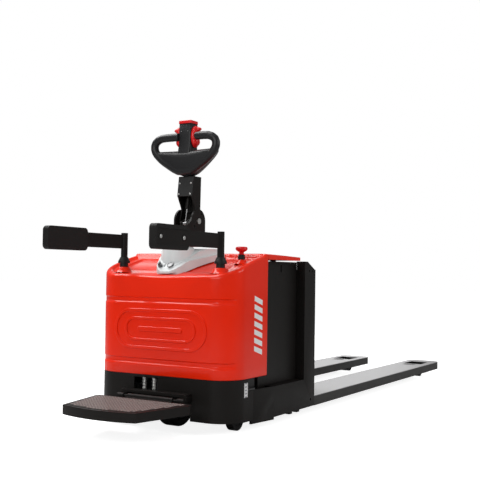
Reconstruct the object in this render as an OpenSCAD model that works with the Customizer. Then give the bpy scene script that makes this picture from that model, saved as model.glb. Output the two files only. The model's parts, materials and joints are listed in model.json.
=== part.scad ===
// Electric rider pallet truck, lowered, tiller upright, platform down and side arms in place.
// X runs from the operator's platform to the fork tips, Y to the operator's left, Z up, floor at Z = 0.

/* [Overall] */
// width over the outer faces of the two forks
truck_w = 685; // [540:1:800]
// fork length from the heel to the tips
fork_len = 1890; // [1150:1:2250]
// height of the fork tops when lowered
fork_top = 80; // [74:1:95]
// distance from the fork heels forward to the front face of the hood
body_len = 755; // [700:1:900]
// height of the ridge at the back of the hood
hood_top = 727; // [680:1:800]
// height of the hood's lower edge
hood_bottom = 219; // [200:1:260]

/* [Forks] */
// width of one fork
fork_w = 198; // [150:1:220]
// depth of a fork's side flange
fork_flange = 46; // [40:1:50]
// plate thickness of the forks
fork_t = 6; // [5:0.5:8]
// plan radius of the fork tips
fork_tip_r = 42; // [20:1:60]
// distance from the fork tip back to the load wheel's axle
tip_overhang = 209; // [170:1:260]
// load wheel diameter
load_wheel_d = 74; // [64:1:76]
// load wheel width
load_wheel_w = 82; // [60:1:90]
// length of the load wheel's swing arm between its two centres
load_arm_len = 260; // [220:1:290]
// diameter of the push rods inside the forks
push_rod_d = 12; // [8:1:14]

/* [Battery frame] */
// wall thickness of the battery frame's plates
frame_t = 8; // [5:0.5:10]
// height of the uprights at the fork heels
upright_top = 701; // [640:1:720]
// width of one upright along the truck
upright_len = 110; // [90:1:130]
// distance from the truck's centre to the outer face of the battery panels
panel_y = 300; // [270:1:310]
// height of the lower skirt of the battery frame
skirt_top = 165; // [150:1:180]
// distance from the fork heels forward to the front end of the lower skirt
skirt_reach = 549; // [530:1:560]
// distance from the fork heels forward to where the lower skirt bends inward
skirt_bend = 392; // [360:1:430]
// length of the red battery lid
lid_len = 297; // [240:1:320]
// thickness of the battery lid
lid_t = 24; // [18:1:28]

/* [Hood] */
// length of the hood from its front face to its back edge
hood_len = 290; // [270:1:300]
// plan radius of the hood's front corners
hood_r = 112; // [90:1:140]
// wall thickness of the hood
hood_t = 5; // [3:0.5:7]
// height of the hood's rim at the front face
rim_front = 634; // [590:1:660]
// width of the rolled rim around the deck
rim_w = 36; // [25:1:50]
// depth of the deck below the rim
deck_drop = 12; // [8:1:18]
// height of the upper groove around the hood
groove_high = 525; // [480:1:560]
// height of the lower groove around the hood
groove_low = 276; // [255:1:300]
// wall thickness of the black front skirt
skirt_t = 6; // [4:0.5:8]
// height of the lower edge of the front skirt
skirt_low = 50; // [40:1:70]

/* [Drive unit] */
// distance from the fork heels forward to the steering axis
steer_x = 625; // [610:1:640]
// drive wheel diameter
drive_wheel_d = 200; // [180:1:205]
// drive wheel width
drive_wheel_w = 70; // [55:1:76]
// how far the drive wheel's axle sits ahead of the steering axis
drive_trail = 5; // [2:1:10]
// drive motor diameter
motor_d = 160; // [130:1:165]
// diameter of the turntable that carries the drive unit
turntable_d = 180; // [170:1:195]
// caster wheel diameter
caster_d = 90; // [80:1:100]
// caster wheel width
caster_w = 35; // [28:1:40]
// how far a caster's axle sits behind its swivel axis
caster_trail = 20; // [12:1:20]

/* [Tiller] */
// distance from the fork heels forward to the tiller's pitch pivot
pivot_x = 548; // [540:1:560]
// height of the tiller's pitch pivot
pivot_z = 865; // [850:1:885]
// diameter of the tiller's pivot pin
pivot_d = 20; // [14:1:22]
// lean of the tiller toward the forks when stored, in degrees
lean = 7; // [4:0.5:9]
// outside width of the tiller column
column_w = 76; // [64:1:77]
// depth of the tiller column along the truck
column_d = 58; // [50:1:64]
// width over the two ears of the tiller bracket
ears_w = 94; // [94:1:112]
// height of the centre line of the handle's upper bars
bar_z = 1225; // [1212:1:1260]
// width over the ring handle
ring_w = 352; // [310:1:390]
// thickness of the ring handle's bars
ring_t = 29; // [24:1:34]
// height of the top face of the control pod
pod_top = 1288; // [1280:1:1320]

/* [Operator's place] */
// distance from the fork heels forward to the hinge of the platform
hinge_x = 808; // [800:1:815]
// height of the platform's top face
platform_z = 135; // [120:1:150]
// length of the platform from its back edge to the middle of its bowed front
platform_len = 310; // [250:1:340]
// width of the platform at its back edge
platform_w = 470; // [400:1:500]
// depth of the platform's edge
platform_t = 37; // [28:1:42]
// distance from the fork heels forward to the side arms' posts
post_x = 684; // [670:1:695]
// distance from the truck's centre to the side arms' posts
post_y = 247; // [225:1:255]
// diameter of a side arm's post
post_d = 29; // [22:1:32]
// length of a side arm from its post to the pad's tip
arm_len = 480.5; // [400:0.5:500]
// length of a side arm's pad
pad_len = 225; // [180:1:260]

// swing of the left arm outward from straight ahead, in degrees
left_out = 1.3; // [0:0.1:5]
// swing of the right arm outward from straight ahead, in degrees
right_out = 2.6; // [0:0.1:5]

/* [Hidden] */
$fn = 96;
fit = 0.05;          // radial clearance of a running fit
half = truck_w / 2;
hood_half = half + 2.5;
fork_bot = fork_top - fork_flange;
fork_y = half - fork_w / 2;
hood_front = -body_len;
hood_back = hood_front + hood_len;
pad_in = 22;         // how far a pad reaches in from its arm
arm_out_most = max(arm_len * cos(left_out) + pad_in * sin(left_out), arm_len * cos(right_out) + pad_in * sin(right_out));
front_reach = max(post_x + arm_out_most, hinge_x + 42 + platform_len);
x_shift = (fork_len - front_reach) / 2;
sx = -steer_x;
wheel_x = sx - drive_trail;
wheel_z = drive_wheel_d / 2;
px = -pivot_x;
pz = pivot_z;
load_x = fork_len - tip_overhang;
load_z = load_wheel_d / 2;
arm_pivot_z = fork_top - 24;
arm_pivot_x = load_x - sqrt(load_arm_len * load_arm_len - pow(arm_pivot_z - load_z, 2));
lever = 18;
lever_lean = 12.78;
bracket_bot = hood_top + 28;
deck_under = hood_t + 1;
rim_run0 = hood_front + 10;
rim_run1 = hood_back - 15;
rim_back = hood_top - 8;
bear_z = hood_bottom + 123;
ring_x = px - 38;
pod_f = px - 49;
pod_b = px + 7;
pod_w = 62;
bowl_r = 188 * ring_w / 352;
bowl_bot = bar_z - 167;
hole_top = bar_z - ring_t / 2;
hole_bot = bar_z - 59;
ps = platform_z;

// height of the hood's rim over x, rising toward the back
function rim_t(x) = min(1, max(0, (x - rim_run0) / (rim_run1 - rim_run0)));
function rim_z(x) = rim_front + (rim_back - rim_front) * (1.4 * rim_t(x) - 0.4 * rim_t(x) * rim_t(x));
rim_steps = 14;
rim_pts = [for (i = [0:rim_steps]) let (x = rim_run0 + (rim_run1 - rim_run0) * i / rim_steps) [x, rim_z(x)]];

module place() translate([-x_shift, 0, 0]) children();
module left_right(s) if (s > 0) children(); else mirror([0, 1, 0]) children();

// extrude a drawing of (x, z) along Y, or one of (y, z) along X
module along_y(y0, y1) translate([0, y1, 0]) rotate([90, 0, 0]) linear_extrude(y1 - y0) children();
module along_x(x0, x1) translate([x0, 0, 0]) rotate([90, 0, 90]) linear_extrude(x1 - x0) children();
module up(z0, z1) translate([0, 0, z0]) linear_extrude(z1 - z0) children();
module box(x0, x1, y0, y1, z0, z1) translate([x0, y0, z0]) cube([x1 - x0, y1 - y0, z1 - z0]);
module rod_y(x, z, d, y0, y1) translate([x, y1, z]) rotate([90, 0, 0]) cylinder(d = d, h = y1 - y0);
module rod_z(x, y, d, z0, z1) translate([x, y, z0]) cylinder(d = d, h = z1 - z0);

module rrect(x0, x1, y0, y1, r) {
  translate([x0 + r, y0]) square([x1 - x0 - 2 * r, y1 - y0]);
  translate([x0, y0 + r]) square([x1 - x0, y1 - y0 - 2 * r]);
  for (x = [x0 + r, x1 - r]) for (y = [y0 + r, y1 - r]) translate([x, y]) circle(r);
}

// plan of the hood: round front corners, square back, set in by d
module hood_plan(d, back) {
  r = hood_r - d;
  translate([hood_front + d + r, -hood_half + d]) square([back - hood_front - d - r, 2 * (hood_half - d)]);
  translate([hood_front + d, -hood_half + d + r]) square([r, 2 * (hood_half - d - r)]);
  for (s = [-1, 1]) translate([hood_front + d + r, s * (hood_half - d - r)]) circle(r);
}

// side view of everything under the rim line, lowered by d
module under_rim(d, z0, back, ridge)
  polygon(concat([[hood_front - 1, z0], [hood_front - 1, rim_front - d]],
    [for (p = rim_pts) [p[0], p[1] - d]],
    ridge ? [[rim_run1 + 1, hood_top - d], [back, hood_top - d], [back, z0]] : [[back, rim_back - d], [back, z0]]));

// ---------------------------------------------------------------- chassis

module skirt_solid() {
  difference() {
    up(skirt_low, hood_bottom) hood_plan(0, hood_back);
    up(skirt_low - 1, hood_bottom + 1) hood_plan(skirt_t, hood_back + 1);
    box(hood_front + 138, hood_back + 2, -400, 400, skirt_low - 1, hood_bottom + 1);
    // clearance in front of the drive wheel
    box(hood_front - 1, hood_front + 40, -157, 157, skirt_low - 1, skirt_low + 44);
    // window for the two springs
    box(hood_front - 1, hood_front + 40, 5, 125, 156, 208);
  }
  // shelves that hold the springs
  box(hood_front + skirt_t - 1, hood_front + 28, 3, 127, 150, 156);
  box(hood_front + skirt_t - 1, hood_front + 28, 3, 127, 208, 214);
}
module chassis_skirt() color("#1c1b1a") place() skirt_solid();

module chassis_frame() color("#262524") place() difference() {
  union() {
    intersection() {
      up(170, 178) hood_plan(skirt_t, hood_back - 10);
      box(hood_front + 55, -skirt_reach - 3, -400, 400, 160, 190);
    }
    box(-skirt_reach - 4, hood_back - 15, -panel_y + 5, panel_y - 5, 170, 178);
    for (s = [-1, 1]) box(hood_front + 60, hood_back - 15, s > 0 ? panel_y - 13 : -panel_y + 5, s > 0 ? panel_y - 5 : -panel_y + 13, 178, bear_z + 78);
    // plate that carries the turntable bearing
    intersection() {
      box(hood_front + 20, hood_back - 30, -panel_y + 13, panel_y - 13, bear_z - 12, bear_z);
      up(bear_z - 13, bear_z + 1) hood_plan(hood_t + 1, hood_back);
    }
    // seat of the lift cylinder
    box(cyl_x - 26, hood_back - 2, -panel_y + 12, panel_y - 12, 205, 215);
  }
  rod_z(sx, 0, 250, 160, 190);
  box(hood_front, sx, -125, 125, 160, 190);
  rod_z(sx, 0, turntable_d + 2 * fit, bear_z - 20, bear_z + 10);
  for (s = [-1, 1]) rod_z(sx + 22, s * (panel_y - 38), 24 + 2 * fit, 160, 190);
  // room for the lift cylinder
  box(cyl_x - 26, hood_back + 1, -27, 27, bear_z - 20, bear_z + 10);
}

module hood_cover() color("#e02400") place() difference() {
  intersection() {
    up(hood_bottom, hood_top + 1) hood_plan(0, hood_back);
    along_y(-hood_half - 1, hood_half + 1) under_rim(0, hood_bottom - 1, hood_back, true);
    along_x(hood_front - 1, hood_back + 1) rrect(-hood_half, hood_half, hood_bottom - 40, hood_top, 12);
  }
  // dished deck
  difference() {
    up(rim_front - 60, hood_top + 20) hood_plan(rim_w, hood_back - 26);
    along_y(-hood_half, hood_half) under_rim(deck_drop, 0, hood_back, false);
  }
  // inside
  intersection() {
    up(hood_bottom - 1, hood_top) hood_plan(hood_t, hood_back + 1);
    along_y(-hood_half, hood_half) under_rim(deck_drop + deck_under, hood_bottom - 2, hood_back + 1, false);
  }
  // two grooves around the outside
  for (z = [groove_high, groove_low]) difference() {
    up(z - 4, z + 4) hood_plan(-2, hood_back - 40);
    up(z - 5, z + 5) hood_plan(2.5, hood_back - 30);
  }
  rod_z(sx, 0, 84, rim_front - 60, hood_top + 5);
  for (s = [-1, 1]) rod_z(-post_x, s * post_y, 40, rim_front - 60, hood_top + 5);
  rod_z(hood_back - 95, -271 * hood_half / 345, 30, rim_front - 60, hood_top + 5);
}

module console_plan(d) translate([0, 10])
  polygon([[hood_front + 20 + d, -34], [hood_front + 20 + d, 34], [hood_front + 30 + d, 56 - d], [hood_front + 48 + d, 76 - d],
    [hood_front + 90, 96 - d], [hood_front + 150, 118 - d], [hood_front + 210, 140 - d], [hood_back - 27, 158 - d],
    [hood_back - 27, -158 + d], [hood_front + 210, -140 + d], [hood_front + 150, -118 + d], [hood_front + 90, -96 + d],
    [hood_front + 48 + d, -76 + d], [hood_front + 30 + d, -56 + d]]);
nose_x = hood_front + 48;
nose_z = rim_front + 40;
nose_tilt = -44;
module console() color("#d6d8d6") place() difference() {
  intersection() {
    union() {
      up(rim_front - 20, hood_top + 30) console_plan(14);
      intersection() {
        up(rim_front - 20, hood_top + 30) console_plan(0);
        along_y(-300, 300) polygon([[hood_front, 0], [hood_front + 20, rim_front + 15], [hood_front + 75, rim_front + 58],
          [hood_back - 60, hood_top - 4], [hood_back, hood_top - 4], [hood_back, 0]]);
      }
    }
    along_y(-300, 300) polygon([[hood_front, 0], [hood_front + 20, rim_front + 13], [hood_front + 77, rim_front + 68],
      [hood_front + 150, hood_top + 8], [hood_front + 195, hood_top + 19], [hood_back, hood_top + 19], [hood_back, 0]]);
  }
  along_y(-300, 300) under_rim(deck_drop, 0, hood_back, false);
  difference() {
    along_y(-300, 300) under_rim(0, 0, hood_back, false);
    up(rim_front - 60, hood_top + 20) hood_plan(rim_w, hood_back - 26);
  }
  rod_z(sx, 0, 68, rim_front - 60, hood_top + 60);
  for (y = [37, -14]) translate([nose_x, y, nose_z]) rotate([0, nose_tilt, 0]) translate([0, 0, -14]) cylinder(d = 22 + 2 * fit, h = 40);
}
module battery_gauge() color("#35383a") place() translate([nose_x, -14, nose_z]) rotate([0, nose_tilt, 0]) {
  translate([0, 0, -14]) cylinder(d = 22, h = 15);
  difference() { translate([0, 0, 1]) cylinder(d = 28, h = 3); translate([0, 0, 2.4]) cylinder(d = 22, h = 3); }
}
module key_switch() color("#303234") place() translate([nose_x, 37, nose_z]) rotate([0, nose_tilt, 0]) {
  translate([0, 0, -14]) cylinder(d = 22, h = 16);
  translate([0, 0, 2]) cylinder(d = 17, h = 2.5);
  translate([-9, -2, 4]) cube([18, 4, 12]);
}

stop_x = hood_back - 95;
stop_y = -271 * hood_half / 345;
stop_z = rim_z(stop_x) - deck_drop;
module e_stop_base() color("#1c1b1a") place() difference() {
  union() {
    rod_z(stop_x, stop_y, 30, stop_z - 26, stop_z + 26);
    rod_z(stop_x, stop_y, 27, stop_z + 26, stop_z + 32);
  }
  rod_z(stop_x, stop_y, 20 + 2 * fit, stop_z - 30, stop_z + 40);
}
module emergency_stop() color("#c8141a") place() {
  rod_z(stop_x, stop_y, 20, stop_z - 4, stop_z + 50);
  translate([stop_x, stop_y, stop_z + 47]) cylinder(d1 = 24, d2 = 46, h = 9);
  rod_z(stop_x, stop_y, 50, stop_z + 56, stop_z + 62);
  translate([stop_x, stop_y, stop_z + 62]) cylinder(d1 = 50, d2 = 38, h = 4);
}

post_foot = rim_z(-post_x) - deck_drop;
module socket_at(s) translate([-post_x, s * post_y, 0]) difference() {
  union() {
    rod_z(0, 0, 40, post_foot - 60, post_foot + 17);
    rod_z(0, 0, 36, post_foot + 17, post_foot + 33);
    rod_z(0, 0, 52, post_foot + 33, post_foot + 42);
    translate([0, 0, post_foot + 42]) cylinder(d1 = 50, d2 = post_d + 5, h = 17);
  }
  rod_z(0, 0, post_d + 2 * fit, post_foot - 48, post_foot + 80);
}
module arm_socket_left() color("#1c1b1a") place() socket_at(1);
module arm_socket_right() color("#1c1b1a") place() socket_at(-1);

barrel_d = 22;
pin_d = 10;
module platform_bracket() color("#232221") place() {
  box(-hinge_x + 16, hood_front, -163, 163, ps + 13, ps + 25);
  for (s = [-1, 1]) {
    rod_y(-hinge_x, ps, barrel_d, s > 0 ? 134 : -165, s > 0 ? 165 : -134);
    box(-hinge_x, hood_front, s > 0 ? 134 : -165, s > 0 ? 165 : -134, ps - 6, ps + 6);
    box(-hinge_x + 16, hood_front, s > 0 ? 134 : -165, s > 0 ? 165 : -134, ps + 5, ps + 14);
  }
  // hinge pin, pressed into both barrels
  rod_y(-hinge_x, ps, pin_d, -168, 168);
}

module coil() translate([0, 0, 2]) linear_extrude(height = 48, twist = -360 * 7, slices = 84, $fn = 12) translate([8.6, 0]) circle(1.6, $fn = 8);
module spring_at(y) translate([hood_front + 17, y, 156]) {
  translate([0, 0, 0.1]) difference() { cylinder(d = 20.6, h = 3.2); translate([0, 0, -1]) cylinder(d = 13.6, h = 6); }
  coil();
  translate([0, 0, 48.7]) difference() { cylinder(d = 20.6, h = 3.2); translate([0, 0, -1]) cylinder(d = 13.6, h = 6); }
}
module spring_left() color("#b9bab8") place() spring_at(83);
module spring_right() color("#b9bab8") place() spring_at(33);

module steer_bearing() color("#55575a") place() difference() {
  rod_z(sx, 0, turntable_d + 28, bear_z, bear_z + 18);
  rod_z(sx, 0, turntable_d + 2 * fit, bear_z - 1, bear_z + 20);
}

cyl_x = hood_back - 27;
module lift_cylinder() color("#2a2b2c") place() difference() {
  union() { rod_z(cyl_x, 0, 42, 215, 470); rod_z(cyl_x, 0, 46, 215, 233); }
  rod_z(cyl_x, 0, 26 + 2 * fit, 240, 480);
}
module lift_rod() color("#c4c6c8") place() rod_z(cyl_x, 0, 26, 250, 520);

// ---------------------------------------------------------------- drive unit and steering

module turntable() color("#3c3e40") place() rod_z(sx, 0, turntable_d, bear_z - 12, bear_z + 22);
module drive_motor() color("#2c2e30") place() {
  rod_z(sx, 0, motor_d, bear_z + 22, bear_z + 196);
  rod_z(sx, 0, motor_d - 20, bear_z + 196, bear_z + 212);
  // flange and column that carry the tiller
  rod_z(sx, 0, 110, bear_z + 212, bear_z + 224);
  rod_z(sx, 0, 60, bear_z + 212, bracket_bot);
}
module gearbox() color("#3a3c3e") place() {
  difference() {
    rod_z(sx, 0, 150, drive_wheel_d + 12, bear_z - 12);
    rod_z(sx, 0, 20, 100, drive_wheel_d + 20);
  }
  intersection() {
    rod_z(sx, 0, 150, drive_wheel_d - 8, drive_wheel_d + 13);
    box(sx - 100, sx + 100, drive_wheel_w / 2 + 6, drive_wheel_w / 2 + 48, 100, 300);
  }
  along_y(drive_wheel_w / 2 + 6, drive_wheel_w / 2 + 48) {
    translate([wheel_x, wheel_z]) circle(52);
    translate([wheel_x - 40, wheel_z]) square([92, drive_wheel_d - wheel_z + 3]);
  }
  rod_y(wheel_x, wheel_z, 40, -drive_wheel_w / 2 + 4, drive_wheel_w / 2 + 10);
}
module drive_hub() color("#6a6c6e") place() difference() {
  union() {
    rod_y(wheel_x, wheel_z, drive_wheel_d * 0.66, -drive_wheel_w / 2 + 2, drive_wheel_w / 2 - 2);
    rod_y(wheel_x, wheel_z, 70, -drive_wheel_w / 2, drive_wheel_w / 2 + 1);
  }
  rod_y(wheel_x, wheel_z, 40 + 2 * fit, -drive_wheel_w / 2 + 3.7, drive_wheel_w / 2 + 2);
}
module drive_tyre() color("#1a1a1a") place() difference() {
  rod_y(wheel_x, wheel_z, drive_wheel_d, -drive_wheel_w / 2, drive_wheel_w / 2);
  rod_y(wheel_x, wheel_z, drive_wheel_d * 0.66, -drive_wheel_w, drive_wheel_w);
}
ear_t = 8;
ear_in = ears_w / 2 - ear_t;
gas_x = px - 33;
gas_z = pz - 12;
module ear_plain() {
  translate([px, pz]) circle(52);
  polygon([[px - 52, bracket_bot], [px + 52, bracket_bot], [px + 52, pz], [px - 52, pz]]);
}
module ear_flared() {
  translate([px, pz]) circle(52);
  polygon([[px - 139, bracket_bot], [px + 52, bracket_bot], [px + 52, pz], [px, pz], [px - 50.2, pz + 13.6], [px - 58, pz],
    [px - 72, pz - 12], [px - 93, pz - 22], [px - 127, pz - 36], [px - 139, pz - 48]]);
}
module tiller_bracket() color("#1f1e1d") place() difference() {
  union() {
    along_y(ear_in, ears_w / 2) ear_plain();
    along_y(-ears_w / 2, -ear_in) ear_flared();
    box(px - 118, px + 52, -ear_in - 1, ear_in + 1, bracket_bot, bracket_bot + 20);
    // lug for the foot of the gas spring
    for (s = [-1, 1]) along_y(s > 0 ? 12 : -20, s > 0 ? 20 : -12) {
      translate([gas_x, gas_z]) circle(11);
      translate([gas_x - 11, bracket_bot + 19]) square([22, gas_z - bracket_bot - 19]);
    }
  }
  rod_y(px, pz, pivot_d, -ears_w, ears_w);
  rod_y(px + 23, pz + 32, 8, -ears_w, ears_w);
  rod_y(px - 31, pz - 24, 10, -ears_w, ears_w);
}
module pivot_pin() color("#b5b7b9") place() {
  rod_y(px, pz, pivot_d, -ears_w / 2 - 1, ears_w / 2 + 1);
  for (s = [-1, 1]) rod_y(px, pz, pivot_d + 5, s > 0 ? ears_w / 2 : -ears_w / 2 - 4, s > 0 ? ears_w / 2 + 4 : -ears_w / 2);
}

// the gas spring leans by gas_lean from its foot; its tube slides on the rod
gas_top_x = px - 20 * cos(lean) + 160 * sin(lean);
gas_top_z = pz + 160 * cos(lean) + 20 * sin(lean);
gas_lean = atan2(gas_top_x - gas_x, gas_top_z - gas_z);
gas_len = sqrt(pow(gas_top_x - gas_x, 2) + pow(gas_top_z - gas_z, 2));
module gas_frame() translate([gas_x, 0, gas_z]) rotate([0, gas_lean, 0]) children();
module gas_spring_rod() color("#c4c6c8") place() gas_frame() {
  rod_y(0, 0, 16, -8, 8);
  rod_y(0, 0, 7, -11.6, 11.6);
  cylinder(d = 6, h = 110);
}
module gas_spring_tube() color("#2a2b2c") place() gas_frame() difference() {
  union() {
    translate([0, 0, 66]) cylinder(d = 16, h = gas_len - 72);
    rod_y(0, gas_len - 4, 12, -7, 7);
  }
  translate([0, 0, 60]) cylinder(d = 6 + 2 * fit, h = 84);
}

module tiller_frame() translate([px, 0, pz]) rotate([0, lean, 0]) children();
col_f = -53;
col_b = col_f + column_d;
col_top = (bowl_bot - pz) / cos(lean) + 6;
module tiller_arm() color("#242322") place() difference() {
  union() {
    tiller_frame() {
      for (s = [-1, 1]) along_y(s > 0 ? column_w / 2 - 6 : -column_w / 2, s > 0 ? column_w / 2 : -column_w / 2 + 6) {
        circle(24);
        polygon([[-22, 8], [-18, 52], [col_f, 100], [col_f, col_top - 13], [col_b, col_top - 13], [col_b + 15, 42], [24, 0], [0, -14]]);
      }
      box(col_b - 4, col_b, -column_w / 2 + 5, column_w / 2 - 5, 40, col_top - 13);
      rod_y(0, 0, 40, column_w / 2, ear_in - 0.4);
      rod_y(0, 0, 40, -ear_in + 0.4, -column_w / 2);
    }
    // flange under the control head
    box(px - 29, px + 36, -column_w / 2 - 2, column_w / 2 + 2, bowl_bot - 8, bowl_bot);
  }
  tiller_frame() rod_y(0, 0, pivot_d + 2 * fit, -ears_w, ears_w);
}
module arm_cover_plate() color("#4a4a4a") place() tiller_frame() box(col_f - 3, col_f, -column_w / 2, column_w / 2, 100, col_top - 14);
module cover_screws() color("#c9cacb") place() tiller_frame()
  for (y = [-29, 29]) for (z = [110, 157]) translate([col_f - 3, y, z]) rotate([0, -90, 0]) cylinder(d = 8, h = 2.5);

// ---------------------------------------------------------------- control head

module ring_shape() intersection() {
  translate([0, bowl_bot + bowl_r]) circle(bowl_r);
  rrect(-ring_w / 2, ring_w / 2, bowl_bot - 100, bar_z + ring_t / 2, 48);
}
module finger_hole(s) rrect(s > 0 ? pod_w / 2 : -ring_w / 2 + 32, s > 0 ? ring_w / 2 - 32 : -pod_w / 2, hole_bot, hole_top, 21);
module ring_handle() color("#232426") place() {
  difference() {
    along_x(ring_x - ring_t / 2, ring_x + ring_t / 2) difference() {
      ring_shape();
      for (s = [-1, 1]) finger_hole(s);
      translate([-pod_w / 2, hole_bot]) square([pod_w, 400]);
    }
    // round ends of the upper bars, where the rockers turn
    for (s = [-1, 1]) box(ring_x - 40, ring_x + 40, s > 0 ? pod_w / 2 : -pod_w / 2 - 16, s > 0 ? pod_w / 2 + 16 : -pod_w / 2, hole_bot + 1, bar_z + 40);
  }
  for (s = [-1, 1]) rod_y(ring_x, bar_z, ring_t - 1, s > 0 ? pod_w / 2 : -pod_w / 2 - 16.5, s > 0 ? pod_w / 2 + 16.5 : -pod_w / 2);
}
module head_shell() color("#2c2d2f") place() difference() {
  union() {
    box(pod_f, pod_b, -pod_w / 2, pod_w / 2, hole_bot, pod_top);
    along_x(ring_x + ring_t / 2, pod_b) intersection() {
      ring_shape();
      translate([-200, bowl_bot - 10]) square([400, hole_bot - bowl_bot + 10]);
    }
  }
  translate([(pod_f + pod_b) / 2, 0, pod_top - 24]) cylinder(d = 24 + 2 * fit, h = 40);
}
module rocker_at(s) left_right(s) difference() {
  union() {
    along_y(pod_w / 2 + 0.5, pod_w / 2 + 13) {
      translate([ring_x, bar_z + 26]) circle(17);
      translate([ring_x, bar_z - 24]) circle(17);
      translate([ring_x - 18, bar_z - 24]) square([36, 50]);
    }
    along_y(pod_w / 2 + 4, pod_w / 2 + 32) rrect(ring_x - 8, ring_x + 10, bar_z + 22, bar_z + 36, 6.5);
  }
  rod_y(ring_x, bar_z, ring_t - 1 + 2 * fit, 0, 80);
}
module rocker_left() color("#c8141a") place() rocker_at(1);
module rocker_right() color("#c8141a") place() rocker_at(-1);
module belly_button() color("#d01a1c") place() {
  up(pod_top + 4.5, pod_top + 10.5) rrect(pod_f - 3, pod_b + 3, -pod_w / 2 - 2, pod_w / 2 + 2, 8);
  rod_z((pod_f + pod_b) / 2, 0, 24, pod_top - 18, pod_top + 6);
}

// ---------------------------------------------------------------- side arms

arm_z = hood_top + 46;
arm_t = 8;
module swung(s) translate([-post_x, s * post_y, 0]) rotate([0, 0, s > 0 ? -left_out : right_out]) translate([post_x, -s * post_y, 0]) left_right(s) children();
bolts_x = [-post_x - arm_len + 33, -post_x - arm_len + 190];
module side_arm(s) swung(s) {
  rod_z(-post_x, post_y, post_d, post_foot - 46, arm_z + 38);
  difference() {
    box(-post_x - arm_len + 14, -post_x, post_y - arm_t / 2, post_y + arm_t / 2, arm_z - 30, arm_z + 30);
    for (x = bolts_x) rod_y(x, arm_z, 10, post_y - 20, post_y + 20);
  }
}
module arm_pad(s) swung(s) difference() {
  along_y(post_y - pad_in, post_y + arm_t / 2 + 3) rrect(-post_x - arm_len, -post_x - arm_len + pad_len, arm_z - 46, arm_z + 46, 18);
  box(-post_x - arm_len + 14, -post_x, post_y - arm_t / 2, post_y + 30, arm_z - 30, arm_z + 30);
  for (x = bolts_x) rod_y(x, arm_z, 10, post_y - 18, post_y + 20);
}
module pad_bolts(s) swung(s) for (x = bolts_x) {
  rod_y(x, arm_z, 10, post_y - 18, post_y + arm_t / 2 + 1);
  rod_y(x, arm_z, 15, post_y + arm_t / 2, post_y + arm_t / 2 + 5);
}
module side_arm_left() color("#1f1e1d") place() side_arm(1);
module arm_pad_left() color("#191918") place() arm_pad(1);
module pad_bolts_left() color("#b9bab8") place() pad_bolts(1);
module side_arm_right() color("#1f1e1d") place() side_arm(-1);
module arm_pad_right() color("#191918") place() arm_pad(-1);
module pad_bolts_right() color("#b9bab8") place() pad_bolts(-1);

// ---------------------------------------------------------------- platform

plat_back = -hinge_x - 42;
plat_front = plat_back - platform_len;
module platform_shape(d) intersection() {
  polygon([[plat_back - d, platform_w / 2 - 6 - d], [plat_back - 22, platform_w / 2 - d], [plat_front + 32, platform_w * 0.375 - d],
    [plat_front - 40, platform_w * 0.34 - d], [plat_front - 40, -platform_w * 0.34 + d], [plat_front + 32, -platform_w * 0.375 + d],
    [plat_back - 22, -platform_w / 2 + d], [plat_back - d, -platform_w / 2 + 6 + d]]);
  translate([plat_front + d + 520, 0]) circle(520);
}
module platform_plate() color("#1c1b1a") place() difference() {
  union() {
    difference() {
      up(ps - platform_t, ps) platform_shape(0);
      up(ps - platform_t - 1, ps - 7) platform_shape(6);
      up(ps - 2.5, ps + 1) platform_shape(13);
    }
    rod_y(-hinge_x, ps, barrel_d, -112, 112);
    box(plat_back - 1, -hinge_x, -112, 112, ps - 10, ps - 2);
  }
  rod_y(-hinge_x, ps, pin_d + 2 * fit, -200, 200);
}
module platform_mat() color("#33302e") place() up(ps - 2.5, ps + 1.5) platform_shape(13);

// ---------------------------------------------------------------- lifting frame and forks

module fork_plan(d) {
  translate([0, -fork_w / 2 + d]) square([fork_len - fork_tip_r, fork_w - 2 * d]);
  translate([0, -fork_w / 2 + fork_tip_r]) square([fork_len - d, fork_w - 2 * fork_tip_r]);
  for (s = [-1, 1]) translate([fork_len - fork_tip_r, s * (fork_w / 2 - fork_tip_r)]) circle(fork_tip_r - d);
}
module fork_at(s) translate([0, s * fork_y, 0]) difference() {
  intersection() {
    up(fork_bot, fork_top) fork_plan(0);
    along_y(-fork_w, fork_w) {
      translate([-1, 0]) square([fork_len - 19, 200]);
      translate([0, fork_bot + 20]) square([fork_len, 200]);
      translate([fork_len - 20, fork_bot + 20]) circle(20);
    }
  }
  difference() {
    up(fork_bot - 1, fork_top - fork_t) fork_plan(fork_t);
    box(fork_len - 60, fork_len, -fork_w, fork_w, 0, 200);
    box(load_x + 128, fork_len, -fork_w, -fork_w / 2 + 40, 0, 200);
    box(load_x + 128, fork_len, fork_w / 2 - 40, fork_w, 0, 200);
  }
  // openings over the load wheel and ahead of it
  up(fork_top - 20, fork_top + 1) rrect(load_x - 46, load_x + 112, -58, 58, 8);
  up(fork_top - 20, fork_top + 1) rrect(load_x - 112, load_x - 74, -40, 40, 8);
  // relief under the side flanges by the wheel
  box(load_x + 76, load_x + 90, -fork_w, fork_w, fork_bot - 1, fork_bot + 6);
}
module fork_left() color("#c2c0c1") place() fork_at(1);
module fork_right() color("#c2c0c1") place() fork_at(-1);

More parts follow.
